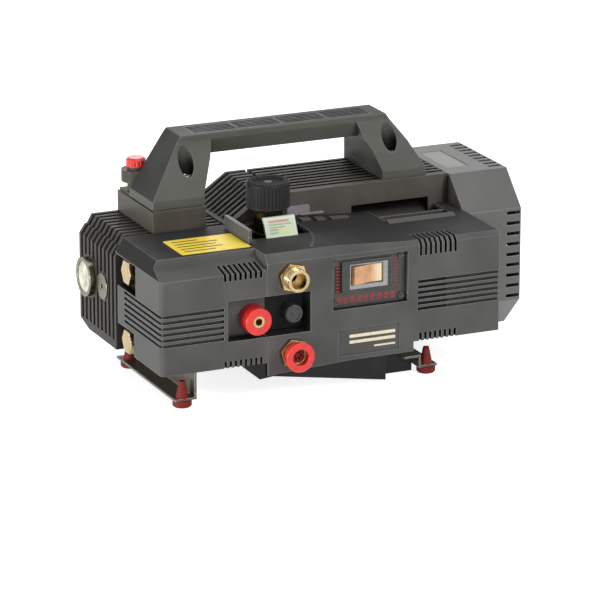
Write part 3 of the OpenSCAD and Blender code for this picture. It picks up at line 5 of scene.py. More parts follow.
import bmesh
import bpy
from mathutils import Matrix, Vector


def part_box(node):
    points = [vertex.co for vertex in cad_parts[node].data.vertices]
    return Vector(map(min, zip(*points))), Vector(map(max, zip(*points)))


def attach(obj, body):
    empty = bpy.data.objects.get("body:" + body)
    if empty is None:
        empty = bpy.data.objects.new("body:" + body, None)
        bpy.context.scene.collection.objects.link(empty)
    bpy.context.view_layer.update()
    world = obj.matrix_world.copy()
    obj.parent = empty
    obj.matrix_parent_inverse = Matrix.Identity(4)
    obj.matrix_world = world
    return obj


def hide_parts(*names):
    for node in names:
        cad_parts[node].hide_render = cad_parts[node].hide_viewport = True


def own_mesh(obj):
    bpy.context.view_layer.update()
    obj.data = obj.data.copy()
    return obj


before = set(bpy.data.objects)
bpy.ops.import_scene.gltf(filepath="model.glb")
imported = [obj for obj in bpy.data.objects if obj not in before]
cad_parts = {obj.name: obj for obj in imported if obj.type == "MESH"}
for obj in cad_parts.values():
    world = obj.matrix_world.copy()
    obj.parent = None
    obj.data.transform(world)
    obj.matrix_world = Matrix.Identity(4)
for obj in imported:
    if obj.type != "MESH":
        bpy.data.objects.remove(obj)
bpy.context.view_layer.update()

# Places below are in millimetres from the pump cover's left end, its front face and the floor,
# as the unit is measured; this is where that corner sits in the frame.
CORNER = Vector((-0.21125, -0.1195, 0.0))
MM = 0.001


def place(x, y, z):
    """A measured place on the unit as a point of the frame, in metres."""
    return CORNER + Vector((x, y, z)) * MM


# Camera

IMAGE_SIDE = 600
FOCAL_PIXELS = 3976.92
SENSOR = 36.0
PIVOT = place(205, 100, 120)
PIVOT_PIXEL = (312.36, 243.82)
CAMERA_DISTANCE = 3.98069
CAMERA_AZIMUTH = math.radians(24.39)
CAMERA_ELEVATION = math.radians(16.37)


def make_camera():
    """Stands where the photograph was taken and is turned, not shifted, to frame the unit as it does."""
    flat = math.cos(CAMERA_ELEVATION)
    back = Vector((
        -math.sin(CAMERA_AZIMUTH) * flat,
        -math.cos(CAMERA_AZIMUTH) * flat,
        math.sin(CAMERA_ELEVATION),
    ))
    right = Vector((math.cos(CAMERA_AZIMUTH), -math.sin(CAMERA_AZIMUTH), 0))
    up = back.cross(right)
    centre = IMAGE_SIDE / 2
    aside = right * ((centre - PIVOT_PIXEL[0]) / FOCAL_PIXELS)
    below = up * ((PIVOT_PIXEL[1] - centre) / FOCAL_PIXELS)
    data = bpy.data.cameras.new("photo_camera")
    data.sensor_width = SENSOR
    data.lens = FOCAL_PIXELS * SENSOR / IMAGE_SIDE
    camera = bpy.data.objects.new("photo_camera", data)
    bpy.context.scene.collection.objects.link(camera)
    camera.location = PIVOT + back * CAMERA_DISTANCE
    camera.rotation_mode = "QUATERNION"
    camera.rotation_quaternion = (aside + below - back).to_track_quat("-Z", "Y")
    bpy.context.scene.camera = camera


make_camera()


# Colour, node and surface

def linear(code):
    """A written sRGB colour such as "#5c5c5c" as linear red, green, blue and alpha."""
    parts = [int(code[i:i + 2], 16) / 255 for i in (1, 3, 5)]
    return [p / 12.92 if p <= 0.04045 else ((p + 0.055) / 1.055) ** 2.4 for p in parts] + [1.0]


def add(tree, kind, settings=None, links=None):
    """Adds a shader node, sets its inputs and properties, and links other nodes' outputs to it."""
    made = tree.nodes.new(kind)
    for name, value in (settings or {}).items():
        if isinstance(name, int) or name in made.inputs:
            made.inputs[name].default_value = value
        else:
            setattr(made, name, value)
    for name, source in (links or {}).items():
        tree.links.new(source, made.inputs[name])
    return made


# A face counts as level by its normal's height, and as a left-hand slope by its normal's height and lean.
# An edge is where the rounded normal turns from the face's own, and a groove is where little sky is seen.
PATCH_SPREAD = {"From Min": 0.3, "From Max": 0.7}
LEVEL_HEIGHT = {"From Min": 0.975, "From Max": 0.995}
SLOPE_HEIGHT = {"From Min": 0.25, "From Max": 0.4}
SLOPE_LEAN = {"From Min": -0.5, "From Max": -0.7}
EDGE_TURN = {"From Min": 0.72, "From Max": 0.985, "To Min": 1.0, "To Max": 0.0}
OPEN_SKY = {"From Min": 0.5, "From Max": 0.9}
EDGE_SAMPLES = 6
SKY_SAMPLES = 8


def paint_shade_on_upper_faces(tree, colour, painted_top_shade, painted_slope_shade):
    """Paints shade by facing: level tops get one darker colour and slopes that lean to the left another, as
    painted shade.
    """
    facing = add(tree, "ShaderNodeTexCoord").outputs["Normal"]
    lean = add(tree, "ShaderNodeSeparateXYZ", links={"Vector": facing}).outputs
    level = add(tree, "ShaderNodeMapRange", LEVEL_HEIGHT, {"Value": lean["Z"]}).outputs["Result"]
    tilted = add(tree, "ShaderNodeMapRange", SLOPE_HEIGHT, {"Value": lean["Z"]}).outputs["Result"]
    leftward = add(tree, "ShaderNodeMapRange", SLOPE_LEAN, {"Value": lean["X"]}).outputs["Result"]
    sloping = add(tree, "ShaderNodeMath", {"operation": "MULTIPLY"}, {0: tilted, 1: leftward}).outputs[0]
    for shade, share in ((painted_top_shade, level), (painted_slope_shade, sloping)):
        paint = {"data_type": "RGBA", 7: linear(shade)}
        colour = add(tree, "ShaderNodeMix", paint, {0: share, 6: colour}).outputs[2]
    return colour


def paint_edge_wear_and_highlight(tree, colour, rounded, edge_wear_and_highlight):
    """Lays a paler colour where the rounded normal turns over an edge, partly as wear and partly as a painted
    highlight.
    """
    flat = add(tree, "ShaderNodeNewGeometry").outputs["Normal"]
    both = {0: rounded, 1: flat}
    dot = add(tree, "ShaderNodeVectorMath", {"operation": "DOT_PRODUCT"}, both).outputs["Value"]
    edge = add(tree, "ShaderNodeMapRange", EDGE_TURN, {"Value": dot}).outputs["Result"]
    paint = {"data_type": "RGBA", 7: linear(edge_wear_and_highlight)}
    return add(tree, "ShaderNodeMix", paint, {0: edge, 6: colour}).outputs[2]


def paint_shade_in_grooves(tree, colour, painted_shade, painted_shade_mm):
    """Lays a dark colour as painted shade in grooves and recesses up to about the given width in millimetres.
    """
    reach = {"only_local": True, "samples": SKY_SAMPLES, "Distance": painted_shade_mm * MM}
    openness = add(tree, "ShaderNodeAmbientOcclusion", reach).outputs["AO"]
    unshaded = add(tree, "ShaderNodeMapRange", OPEN_SKY, {"Value": openness}).outputs["Result"]
    paint = {"data_type": "RGBA", 6: linear(painted_shade)}
    return add(tree, "ShaderNodeMix", paint, {0: unshaded, 7: colour}).outputs[2]


def finish(
    name, colours, rough, patch_mm, grain_mm, depth_mm,
    stretch=(1, 1, 1), round_mm=0.8, sockets=None, painted_top_shade=None, painted_slope_shade=None, painted_shade=None, painted_shade_mm=3.0,
):
    """A surface whose patches, about patch_mm across, drift between the first two colours and two
    roughnesses. Grain about grain_mm across stands depth_mm high, and edges turn over round_mm as the tool
    left them. The third colour, where there is one, lies along those edges, partly as wear and partly as a
    painted highlight. Level tops and left-hand slopes may take darker colours as painted shade, and grooves
    a dark colour as painted shade."""
    material = bpy.data.materials.new(name)
    material.use_nodes = True
    material.diffuse_color = linear(colours[0])
    tree = material.node_tree
    shader = tree.nodes["Principled BSDF"]
    for socket, value in (sockets or {}).items():
        shader.inputs[socket].default_value = value
    space = add(tree, "ShaderNodeTexCoord").outputs["Object"]
    drawn = add(tree, "ShaderNodeMapping", {"Scale": stretch}, {"Vector": space}).outputs["Vector"]
    noise = {"Scale": 1 / (patch_mm * MM), "Detail": 3.0}
    patches = add(tree, "ShaderNodeTexNoise", noise, {"Vector": drawn}).outputs["Fac"]
    share = add(tree, "ShaderNodeMapRange", PATCH_SPREAD, {"Value": patches}).outputs["Result"]
    pair = {"data_type": "RGBA", 6: linear(colours[0]), 7: linear(colours[1])}
    colour = add(tree, "ShaderNodeMix", pair, {0: share}).outputs[2]
    if painted_top_shade:
        colour = paint_shade_on_upper_faces(tree, colour, painted_top_shade, painted_slope_shade)
    corner = {"samples": EDGE_SAMPLES, "Radius": round_mm * MM}
    rounded = add(tree, "ShaderNodeBevel", corner).outputs["Normal"]
    if len(colours) > 2:
        colour = paint_edge_wear_and_highlight(tree, colour, rounded, colours[2])
    if painted_shade:
        colour = paint_shade_in_grooves(tree, colour, painted_shade, painted_shade_mm)
    spread = {**PATCH_SPREAD, "To Min": rough[0], "To Max": rough[1]}
    gloss = add(tree, "ShaderNodeMapRange", spread, {"Value": patches})
    fine = add(tree, "ShaderNodeTexNoise", {"Scale": 1 / (grain_mm * MM)}, {"Vector": drawn}).outputs["Fac"]
    relief = add(tree, "ShaderNodeBump", {"Distance": depth_mm * MM}, {"Height": fine, "Normal": rounded})
    tree.links.new(colour, shader.inputs["Base Color"])
    tree.links.new(gloss.outputs["Result"], shader.inputs["Roughness"])
    tree.links.new(relief.outputs["Normal"], shader.inputs["Normal"])
    return material


# Materials

# ABS moulded in a spark-eroded tool: a fine even grain spreads the light into a soft sheen. Edges are painted
# paler, partly as rubbing and partly as a painted highlight, and grooves and recesses are painted dark as
# painted shade. Level tops and left-hand slopes are painted darker as painted shade, as they look on the
# unit. The real grain of about 0.15 mm is drawn at 0.7 mm so that it shows.
MOULDED_ABS = finish(
    "moulded_abs", ("#494948", "#585856", "#a3a39f"), (0.42, 0.54), patch_mm=60, grain_mm=0.7, depth_mm=0.05,
    round_mm=1.2, sockets={"IOR": 1.53, "Specular IOR Level": 0.1}, painted_top_shade="#282828", painted_slope_shade="#171615",
    painted_shade="#101010", painted_shade_mm=5,
)
# The same ABS from a polished tool, on the fan's hood: glossier, so that its upper faces shine.
GLOSSY_ABS = finish(
    "glossy_abs", ("#525251", "#5c5c5a", "#8f8f8b"), (0.26, 0.36), patch_mm=80, grain_mm=1.0, depth_mm=0.03,
    round_mm=1.4, sockets={"IOR": 1.53, "Specular IOR Level": 0.4},
)
# Cast aluminium under satin black enamel: a pebbled skin, painted olive grey along the fins' edges, partly as
# enamel worn thin and partly as a painted highlight.
ENAMELLED_CASTING = finish(
    "enamelled_casting", ("#302e2b", "#3c3a36", "#6b6b62"), (0.4, 0.55), patch_mm=25, grain_mm=1.4,
    depth_mm=0.08, round_mm=0.7, sockets={"IOR": 1.5, "Specular IOR Level": 0.14},
)
# The motor's casting under the same enamel, faded by heat to a brownish grey; its recesses and the notch
# above the housing are painted dark as painted shade.
FADED_ENAMEL = finish(
    "faded_enamel", ("#494540", "#55514b", "#807f76"), (0.42, 0.56), patch_mm=30, grain_mm=1.4, depth_mm=0.08,
    round_mm=0.9, sockets={"IOR": 1.5, "Specular IOR Level": 0.14}, painted_shade="#0f0e0b", painted_shade_mm=25,
)
# Glass-filled nylon, moulded: a satin olive-grey skin with faint flow marks along the handle. The real
# grain of about 0.2 mm is drawn at 0.8 mm so that it shows.
# Level tops and left-hand slopes are painted darker as painted shade, and the finger pockets dark as painted
# shade.
FILLED_NYLON = finish(
    "filled_nylon", ("#4b4c47", "#555650", "#7d7e75"), (0.46, 0.58), patch_mm=30, grain_mm=0.8, depth_mm=0.05,
    stretch=(0.4, 1, 1), round_mm=1.8, sockets={"IOR": 1.53, "Specular IOR Level": 0.12},
    painted_top_shade="#3f403c", painted_slope_shade="#2a2b28", painted_shade="#161613", painted_shade_mm=22,
)
# Glass-filled nylon in brown black, moulded: darker than the handle, with the same satin skin.
# Its edges are painted paler as a painted highlight.
DARK_NYLON = finish(
    "dark_nylon", ("#413e37", "#4c4942", "#827f76"), (0.4, 0.52), patch_mm=25, grain_mm=0.8, depth_mm=0.05,
    round_mm=1.2, sockets={"IOR": 1.53, "Specular IOR Level": 0.12},
)
# Unpainted black nylon, moulded: dark, with a low gloss and a fine grain, drawn coarser than its 0.2 mm.
# Its edges are painted paler as a painted highlight.
BLACK_NYLON = finish(
    "black_nylon", ("#131213", "#1b1a1b", "#5a595c"), (0.32, 0.46), patch_mm=15, grain_mm=0.8, depth_mm=0.04,
    round_mm=0.6, sockets={"IOR": 1.53, "Specular IOR Level": 0.16},
)
# Brass, turned bright: yellow metal with fine tool lines and slightly darker patches. The lines are drawn
# at 0.9 mm, about four times the feed of the tool, so that they show.
TURNED_BRASS = finish(
    "turned_brass", ("#9c855a", "#bfa97d", "#e0d2b2"), (0.2, 0.32), patch_mm=8, grain_mm=0.9, depth_mm=0.02,
    stretch=(0.4, 2.0, 0.4), round_mm=0.5, sockets={"Metallic": 1.0},
)
# Brass, hot forged and gone dull: brown metal with dark tarnish between lighter rubbed patches, made near
# black as painted shade where it sits deep under the knob and inside the housing.
TARNISHED_SHADED_BRASS = finish(
    "tarnished_shaded_brass", ("#1d180e", "#332a16", "#5c4c26"), (0.38, 0.55), patch_mm=10, grain_mm=1.2,
    depth_mm=0.06, round_mm=0.6, sockets={"Metallic": 1.0},
)
# Steel sheet, zinc plated: grey metal with cloudy blotches and bright sheared edges.
ZINC_PLATE = finish(
    "zinc_plate", ("#989b9e", "#c0c2c4", "#e2e3e4"), (0.28, 0.44), patch_mm=9, grain_mm=1.0, depth_mm=0.015,
    stretch=(1, 0.3, 1), round_mm=0.6, sockets={"Metallic": 1.0},
)
# Steel, zinc plated and olive passivated: dark greenish metal with bright rubbed edges.
OLIVE_ZINC = finish(
    "olive_zinc", ("#35342d", "#48473f", "#8f8e86"), (0.3, 0.44), patch_mm=14, grain_mm=1.0, depth_mm=0.015,
    stretch=(1, 0.3, 1), round_mm=0.7, sockets={"Metallic": 1.0},
)
# Brass, turned and satin nickel plated: dull warm grey with faint rings.
SATIN_NICKEL = finish(
    "satin_nickel", ("#605e54", "#7a7868", "#b4b3a8"), (0.26, 0.4), patch_mm=7, grain_mm=0.9, depth_mm=0.015,
    round_mm=0.8, sockets={"Metallic": 1.0},
)
# Steel sheet under brown-black paint: satin, and painted bright along the sheared edges, partly as bare metal
# and partly as a painted highlight.
PAINTED_SHEET = finish(
    "painted_sheet", ("#4a463e", "#575348", "#d8d7cf"), (0.32, 0.46), patch_mm=16, grain_mm=1.2,
    depth_mm=0.03, round_mm=1.1, sockets={"IOR": 1.5, "Specular IOR Level": 0.3},
)
# Steel, ground: grey metal with fine lines along the work, drawn at 0.8 mm so that they show.
GROUND_STEEL = finish(
    "ground_steel", ("#97999c", "#b9bbbd"), (0.24, 0.38), patch_mm=6, grain_mm=0.8, depth_mm=0.01,
    stretch=(0.2, 1, 1), round_mm=0.4, sockets={"Metallic": 1.0},
)
# Aluminium can, deep drawn: pale metal with long draw marks.
DRAWN_ALUMINIUM = finish(
    "drawn_aluminium", ("#c2c4c6", "#dcdee0"), (0.24, 0.36), patch_mm=8, grain_mm=1.0, depth_mm=0.01,
    stretch=(0.1, 1, 1), sockets={"Metallic": 1.0},
)
# Copper wire, wound and varnished: warm metal with the ridges of wire about 1 mm thick.
VARNISHED_COPPER = finish(
    "varnished_copper", ("#8a461d", "#c97a3f"), (0.28, 0.42), patch_mm=4, grain_mm=1.0, depth_mm=0.2,
    stretch=(2.0, 0.4, 0.4), sockets={"Metallic": 1.0},
)
# Red nylon, moulded in a polished tool: glossy, slightly uneven, paler along the edges.
RED_NYLON = finish(
    "red_nylon", ("#c81a16", "#d92a24", "#e4675f"), (0.24, 0.34), patch_mm=6, grain_mm=2.0, depth_mm=0.01,
    round_mm=0.9, sockets={"IOR": 1.53},
)
# Red rubber, moulded: a dull skin with dusty patches.
RED_RUBBER = finish(
    "red_rubber", ("#5e1714", "#76221d"), (0.55, 0.7), patch_mm=4, grain_mm=0.7, depth_mm=0.05,
    sockets={"IOR": 1.52, "Specular IOR Level": 0.2},
)
# Black nitrile rubber, moulded: dull and even.
BLACK_RUBBER = finish(
    "black_rubber", ("#131313", "#1d1d1d"), (0.58, 0.7), patch_mm=3, grain_mm=0.6, depth_mm=0.03,
    sockets={"IOR": 1.52, "Specular IOR Level": 0.15},
)
# Clear acrylic over pale oil: a greenish white disc, clouded, under a clear gloss.
SIGHT_ACRYLIC = finish(
    "sight_acrylic", ("#6f7250", "#d6d8c2"), (0.08, 0.14), patch_mm=12, grain_mm=4.0, depth_mm=0.02,
    sockets={"IOR": 1.49, "Coat Weight": 0.6, "Coat Roughness": 0.04},
)
# ABS from a polished tool: dark grey with a clear gloss and lighter edges.
POLISHED_ABS = finish(
    "polished_abs", ("#343635", "#404241", "#7b7d7a"), (0.18, 0.28), patch_mm=12, grain_mm=2.0, depth_mm=0.01,
    round_mm=0.9, sockets={"IOR": 1.53, "Specular IOR Level": 0.25},
)
# Pale green polyester film on sheet: satin, with a faint cloudiness and a whiter cut edge.
GREEN_FILM = finish(
    "green_film", ("#a3b29b", "#b6c3ae", "#ccd6c6"), (0.34, 0.46), patch_mm=8, grain_mm=1.5, depth_mm=0.01,
    round_mm=0.7, sockets={"IOR": 1.6},
)
# Yellow vinyl film, cast: an even satin colour with a faint orange-peel skin.
YELLOW_VINYL = finish(
    "yellow_vinyl", ("#f8d83e", "#fde25c"), (0.34, 0.44), patch_mm=20, grain_mm=1.5, depth_mm=0.02,
    round_mm=0.2, sockets={"IOR": 1.5, "Specular IOR Level": 0.25},
)
# Grey vinyl, extruded: soft, dull and faintly lavender, with lengthwise streaks.
GREY_VINYL = finish(
    "grey_vinyl", ("#77737a", "#8a868c", "#a9a6ab"), (0.42, 0.54), patch_mm=6, grain_mm=1.0, depth_mm=0.02,
    stretch=(0.3, 0.3, 1), round_mm=0.5, sockets={"IOR": 1.53, "Specular IOR Level": 0.25},
)
# Pale grey polyester film: an even satin face.
PALE_FILM = finish(
    "pale_film", ("#83837e", "#90908b"), (0.34, 0.46), patch_mm=20, grain_mm=1.2, depth_mm=0.01, round_mm=0.2,
    sockets={"IOR": 1.6, "Specular IOR Level": 0.3},
)
# Dark grey polyester film: even, with a satin face.
DARK_FILM = finish(
    "dark_film", ("#3a3836", "#454240"), (0.36, 0.48), patch_mm=20, grain_mm=1.2, depth_mm=0.01, round_mm=0.2,
    sockets={"IOR": 1.6, "Specular IOR Level": 0.25},
)


def printed_ink(name, thin, thick):
    """Screen-printed ink: dull, and a little uneven where the mesh laid it thin."""
    return finish(
        name, (thin, thick), (0.44, 0.58), patch_mm=2, grain_mm=0.8, depth_mm=0.01,
        round_mm=0.1, sockets={"Specular IOR Level": 0.2},
    )


BLACK_INK = printed_ink("black_ink", "#2b2818", "#1b1912")
RED_INK = printed_ink("red_ink", "#7d3432", "#94403e")
MAROON_INK = printed_ink("maroon_ink", "#2a1113", "#38181a")
SILVER_INK = printed_ink("silver_ink", "#868987", "#a2a5a3")
PALE_INK = printed_ink("pale_ink", "#c6cfc0", "#d6ddd0")
ROSE_INK = printed_ink("rose_ink", "#b88a7e", "#c79a8c")
GREEN_INK = printed_ink("green_ink", "#9dba94", "#8dae85")
LIME_INK = printed_ink("lime_ink", "#c9d391", "#d4db9c")
CREAM_INK = printed_ink("cream_ink", "#d8cdb0", "#e6dcc2")

ROCKER_MIDDLE = 220
ROCKER_PALE_FROM = 4
ROCKER_PALE_TO = 15


def amber_polycarbonate():
    """Amber polycarbonate, moulded clear: a warm glossy lens that pales towards its right-hand end."""
    material = finish(
        "amber_polycarbonate", ("#b87a48", "#cf9a66"), (0.16, 0.24), patch_mm=7, grain_mm=3.0, depth_mm=0.01,
        sockets={"IOR": 1.58, "Coat Weight": 0.4},
    )
    tree = material.node_tree
    base = tree.nodes["Principled BSDF"].inputs["Base Color"]
    body = base.links[0].from_socket
    space = add(tree, "ShaderNodeTexCoord").outputs["Object"]
    along = add(tree, "ShaderNodeSeparateXYZ", links={"Vector": space}).outputs["X"]
    ends = {
        "From Min": place(ROCKER_MIDDLE + ROCKER_PALE_FROM, 0, 0).x,
        "From Max": place(ROCKER_MIDDLE + ROCKER_PALE_TO, 0, 0).x,
    }
    fade = add(tree, "ShaderNodeMapRange", ends, {"Value": along}).outputs["Result"]
    pale = {"data_type": "RGBA", 7: linear("#eed7b0")}
    tree.links.new(add(tree, "ShaderNodeMix", pale, {0: fade, 6: body}).outputs[2], base)
    return material


NODE_FINISHES = {
    MOULDED_ABS: ("pump_cover", "front_housing"),
    GLOSSY_ABS: ("fan_hood",),
    ENAMELLED_CASTING: ("crankcase", "pump_end_shield"),
    FADED_ENAMEL: ("motor_casing", "fan_end_shield"),
    FILLED_NYLON: ("handle",),
    DARK_NYLON: ("handle_pedestal",),
    BLACK_NYLON: (
        "grip_cover", "base_pan", "regulator_knob", "cooling_fan", "overload_breaker", "switch_body",
        "cable_gland",
    ),
    TURNED_BRASS: ("gallery_plugs", "outlet_fitting", "inlet_fitting", "detergent_nipple", "spring_seat"),
    TARNISHED_SHADED_BRASS: ("pump_head", "valve_block", "valve_cartridges", "regulator_bonnet"),
    ZINC_PLATE: ("handle_screws", "bracket_bolts", "head_bolts"),
    SATIN_NICKEL: ("sight_glass_bezel", "drain_plug"),
    PAINTED_SHEET: ("left_foot_bracket", "right_foot_bracket"),
    OLIVE_ZINC: ("panel_screws",),
    RED_NYLON: ("inlet_collar", "detergent_knob", "filler_cap"),
    RED_RUBBER: ("rubber_feet", "inlet_strainer"),
    BLACK_RUBBER: ("shaft_seal", "plunger_seals"),
    VARNISHED_COPPER: ("stator_windings",),
    DRAWN_ALUMINIUM: ("run_capacitor",),
    SIGHT_ACRYLIC: ("sight_glass",),
    POLISHED_ABS: ("switch_bezel", "reset_button"),
    GREEN_FILM: ("pressure_plate",),
    amber_polycarbonate(): ("switch_rocker",),
}
FINISH_OF = {node: material for material, nodes in NODE_FINISHES.items() for node in nodes}


def dress_node(name, node):
    """Gives a solid its finish; its faces are separate sheets, so smooth shading keeps its edges crisp."""
    node.data.materials.clear()
    node.data.materials.append(FINISH_OF.get(name, GROUND_STEEL))
    for face in node.data.polygons:
        face.use_smooth = True


for node_name, cad_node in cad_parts.items():
    dress_node(node_name, cad_node)


# Small pieces on the covers

# How thick a film and a print are, and how deep a piece is sunk into what it lies on, in millimetres.
# Print that other print crosses is laid thinner, so that no two faces lie at one height.
FILM = 0.25
INK = 0.1
THIN_INK = 0.08
THINNEST_INK = 0.06
SUNK = 0.05
CORNER_STEPS = 5
SHARP_ANGLE = math.radians(35)
RIGHT = Vector((1, 0, 0))
UP = Vector((0, 0, 1))
REARWARD = Vector((0, 1, 0))


def film(shell, corner, across, along, width, height, radius, thick=FILM):
    """Adds a thin film with rounded corners, which lies on a face from its lower left corner."""
    out = across.cross(along).normalized()
    start = place(*corner)
    outline = []
    for i, (cx, cy) in enumerate(((1, 1), (0, 1), (0, 0), (1, 0))):
        middle = Vector((radius + cx * (width - 2 * radius), radius + cy * (height - 2 * radius)))
        for step in range(CORNER_STEPS + 1):
            angle = math.radians(90) * (i + step / CORNER_STEPS)
            outline.append(middle + radius * Vector((math.cos(angle), math.sin(angle))))
    levels = []
    for level in (-SUNK, thick):
        spots = [start + (across * p.x + along * p.y + out * level) * MM for p in outline]
        levels.append([shell.verts.new(spot) for spot in spots])
    below, above = levels
    shell.faces.new(above)
    shell.faces.new(list(reversed(below)))
    for i in range(len(outline)):
        shell.faces.new((below[i - 1], below[i], above[i], above[i - 1]))


def ring(shell, centre, axis, profile, steps=64):
    """Adds a closed profile of radius and height pairs turned about an axis."""
    side = axis.orthogonal().normalized()
    front = axis.cross(side)
    start = place(*centre)
    loops = []
    for i in range(steps):
        angle = math.tau * i / steps
        spoke = side * math.cos(angle) + front * math.sin(angle)
        loops.append([shell.verts.new(start + (spoke * r + axis * h) * MM) for r, h in profile])
    for i in range(steps):
        for j in range(len(profile)):
            shell.faces.new((loops[i - 1][j - 1], loops[i][j - 1], loops[i][j], loops[i - 1][j]))


def wire_coil(shell, centre, low, high, mid_radius, wire_radius, turns):
    """Adds an unbroken coil of round wire between two heights above a centre, all in metres."""
    rings_per_turn = 24
    sides = 8
    rise = high - low - 2 * wire_radius
    rows = []
    for i in range(turns * rings_per_turn + 1):
        share = i / (turns * rings_per_turn)
        angle = math.tau * turns * share
        spoke = Vector((math.cos(angle), math.sin(angle), 0))
        middle = centre + spoke * mid_radius + UP * (low + wire_radius + rise * share)
        row = []
        for j in range(sides):
            lean = math.tau * j / sides
            row.append(shell.verts.new(middle + (spoke * math.cos(lean) + UP * math.sin(lean)) * wire_radius))
        rows.append(row)
    for i in range(1, len(rows)):
        for j in range(sides):
            shell.faces.new((rows[i - 1][j - 1], rows[i][j - 1], rows[i][j], rows[i - 1][j]))
    shell.faces.new(rows[0])
    shell.faces.new(rows[-1])


def make_piece(name, shell, material, body="root"):
    """Turns a finished mesh into a piece that rides on a body."""
    bmesh.ops.recalc_face_normals(shell, faces=shell.faces[:])
    mesh = bpy.data.meshes.new(name)
    shell.to_mesh(mesh)
    shell.free()
    mesh.shade_smooth()
    mesh.set_sharp_from_angle(angle=SHARP_ANGLE)
    mesh.materials.append(material)
    made = bpy.data.objects.new(name, mesh)
    bpy.context.scene.collection.objects.link(made)
    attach(made, body)
    return made


COVER_TOP = 145.3
LABEL_LEFT, LABEL_FRONT = 38, 37
LABEL_WIDTH, LABEL_DEPTH, LABEL_CORNER = 73, 51, 2.0
BAR_INSET, BAR_FIRST, BAR_PITCH = 6, 9, 8.5
BAR_TALL, BAR_CORNER = 2.0, 0.6
BAR_SHARES = (0.5, 0.82, 0.74, 0.8, 0.6)


def make_cover_label():
    """A bare yellow field on the pump cover's top with plain printed bars."""
    vinyl = bmesh.new()
    corner = (LABEL_LEFT, LABEL_FRONT, COVER_TOP)
    film(vinyl, corner, RIGHT, REARWARD, LABEL_WIDTH, LABEL_DEPTH, LABEL_CORNER)
    make_piece("cover_label", vinyl, YELLOW_VINYL)
    longest = LABEL_WIDTH - 3 * BAR_INSET
    first = LABEL_FRONT + LABEL_DEPTH - BAR_FIRST
    bars = bmesh.new()
    for row, share in enumerate(BAR_SHARES):
        spot = (LABEL_LEFT + BAR_INSET, first - row * BAR_PITCH, COVER_TOP + FILM)
        film(bars, spot, RIGHT, REARWARD, share * longest, BAR_TALL, BAR_CORNER, INK)
    make_piece("cover_label_bars", bars, BLACK_INK)


PLATE_LEFT, PLATE_FOOT_Y, PLATE_FOOT_Z = 136, 57, 145
PLATE_WIDTH = 34
PLATE_RISE = Vector((0, 9, 18.5))
PLATE_HEIGHT = PLATE_RISE.length
PLATE_SLOPE = PLATE_RISE.normalized()
BORDER_INSET, BORDER, BORDER_CORNER = 1.4, 0.9, 0.3
LINE_CORNER = 0.4
# Each printed line's foot on the plate, its start, its length and its height.
PLATE_LINES = {
    "plate_rose_lines": (ROSE_INK, ((14.8, 5, 22, 2.4), (9.4, 5, 17, 1.2))),
    "plate_green_lines": (GREEN_INK, ((12.0, 5, 24, 1.6), (6.6, 5, 9, 1.8), (3.6, 5, 9, 1.8))),
    "plate_lime_field": (LIME_INK, ((3.4, 17, 12, 5.0),)),
}


def on_plate(x, height):
    """A spot on the green plate, from its lower left corner."""
    return (PLATE_LEFT + x, PLATE_FOOT_Y + PLATE_SLOPE.y * height, PLATE_FOOT_Z + PLATE_SLOPE.z * height)


def make_plate_print():
    """A pale border and plain coloured lines printed on the green plate in front of the pressure knob."""
    border = bmesh.new()
    long_side = PLATE_WIDTH - 2 * BORDER_INSET
    tall_side = PLATE_HEIGHT - 2 * BORDER_INSET
    for foot in (BORDER_INSET, PLATE_HEIGHT - BORDER_INSET - BORDER):
        spot = on_plate(BORDER_INSET, foot)
        film(border, spot, RIGHT, PLATE_SLOPE, long_side, BORDER, BORDER_CORNER, THIN_INK)
    for x in (BORDER_INSET, PLATE_WIDTH - BORDER_INSET - BORDER):
        spot = on_plate(x, BORDER_INSET)
        film(border, spot, RIGHT, PLATE_SLOPE, BORDER, tall_side, BORDER_CORNER, INK)
    make_piece("plate_border", border, PALE_INK)
    for name, (ink, rows) in PLATE_LINES.items():
        lines = bmesh.new()
        for foot, x, length, tall in rows:
            film(lines, on_plate(x, foot), RIGHT, PLATE_SLOPE, length, tall, LINE_CORNER, THIN_INK)
        make_piece(name, lines, ink)


RECESS_FLOOR_Y = 6
RECESS_LEFT, RECESS_LOW = 182, 81
RECESS_WIDTH, RECESS_HEIGHT = 81, 51.5
PANEL_CLEAR, PANEL_CORNER = 0.3, 1.0
BAND_LEFT, BAND_LOW = 186.6, 96.5
BAND_WIDE, BAND_TALL, BAND_CORNER = 5.8, 31.5, 0.6
MARK_COLUMNS = (187.5, 249.5)
MARK_ROWS, MARK_LOW, MARK_PITCH = 9, 97.5, 3.4
MARK_WIDE, MARK_TALL, MARK_CORNER = 4.0, 1.4, 0.4
BLOCK_COLUMNS, BLOCK_LEFT, BLOCK_PITCH = 9, 188.5, 7.3
BLOCK_WIDE, BLOCK_CORNER = 4.6, 0.5
# The low edge and the height of each row of blocks.
BLOCK_ROWS = ((85.2, 2.2), (88.2, 3.6))


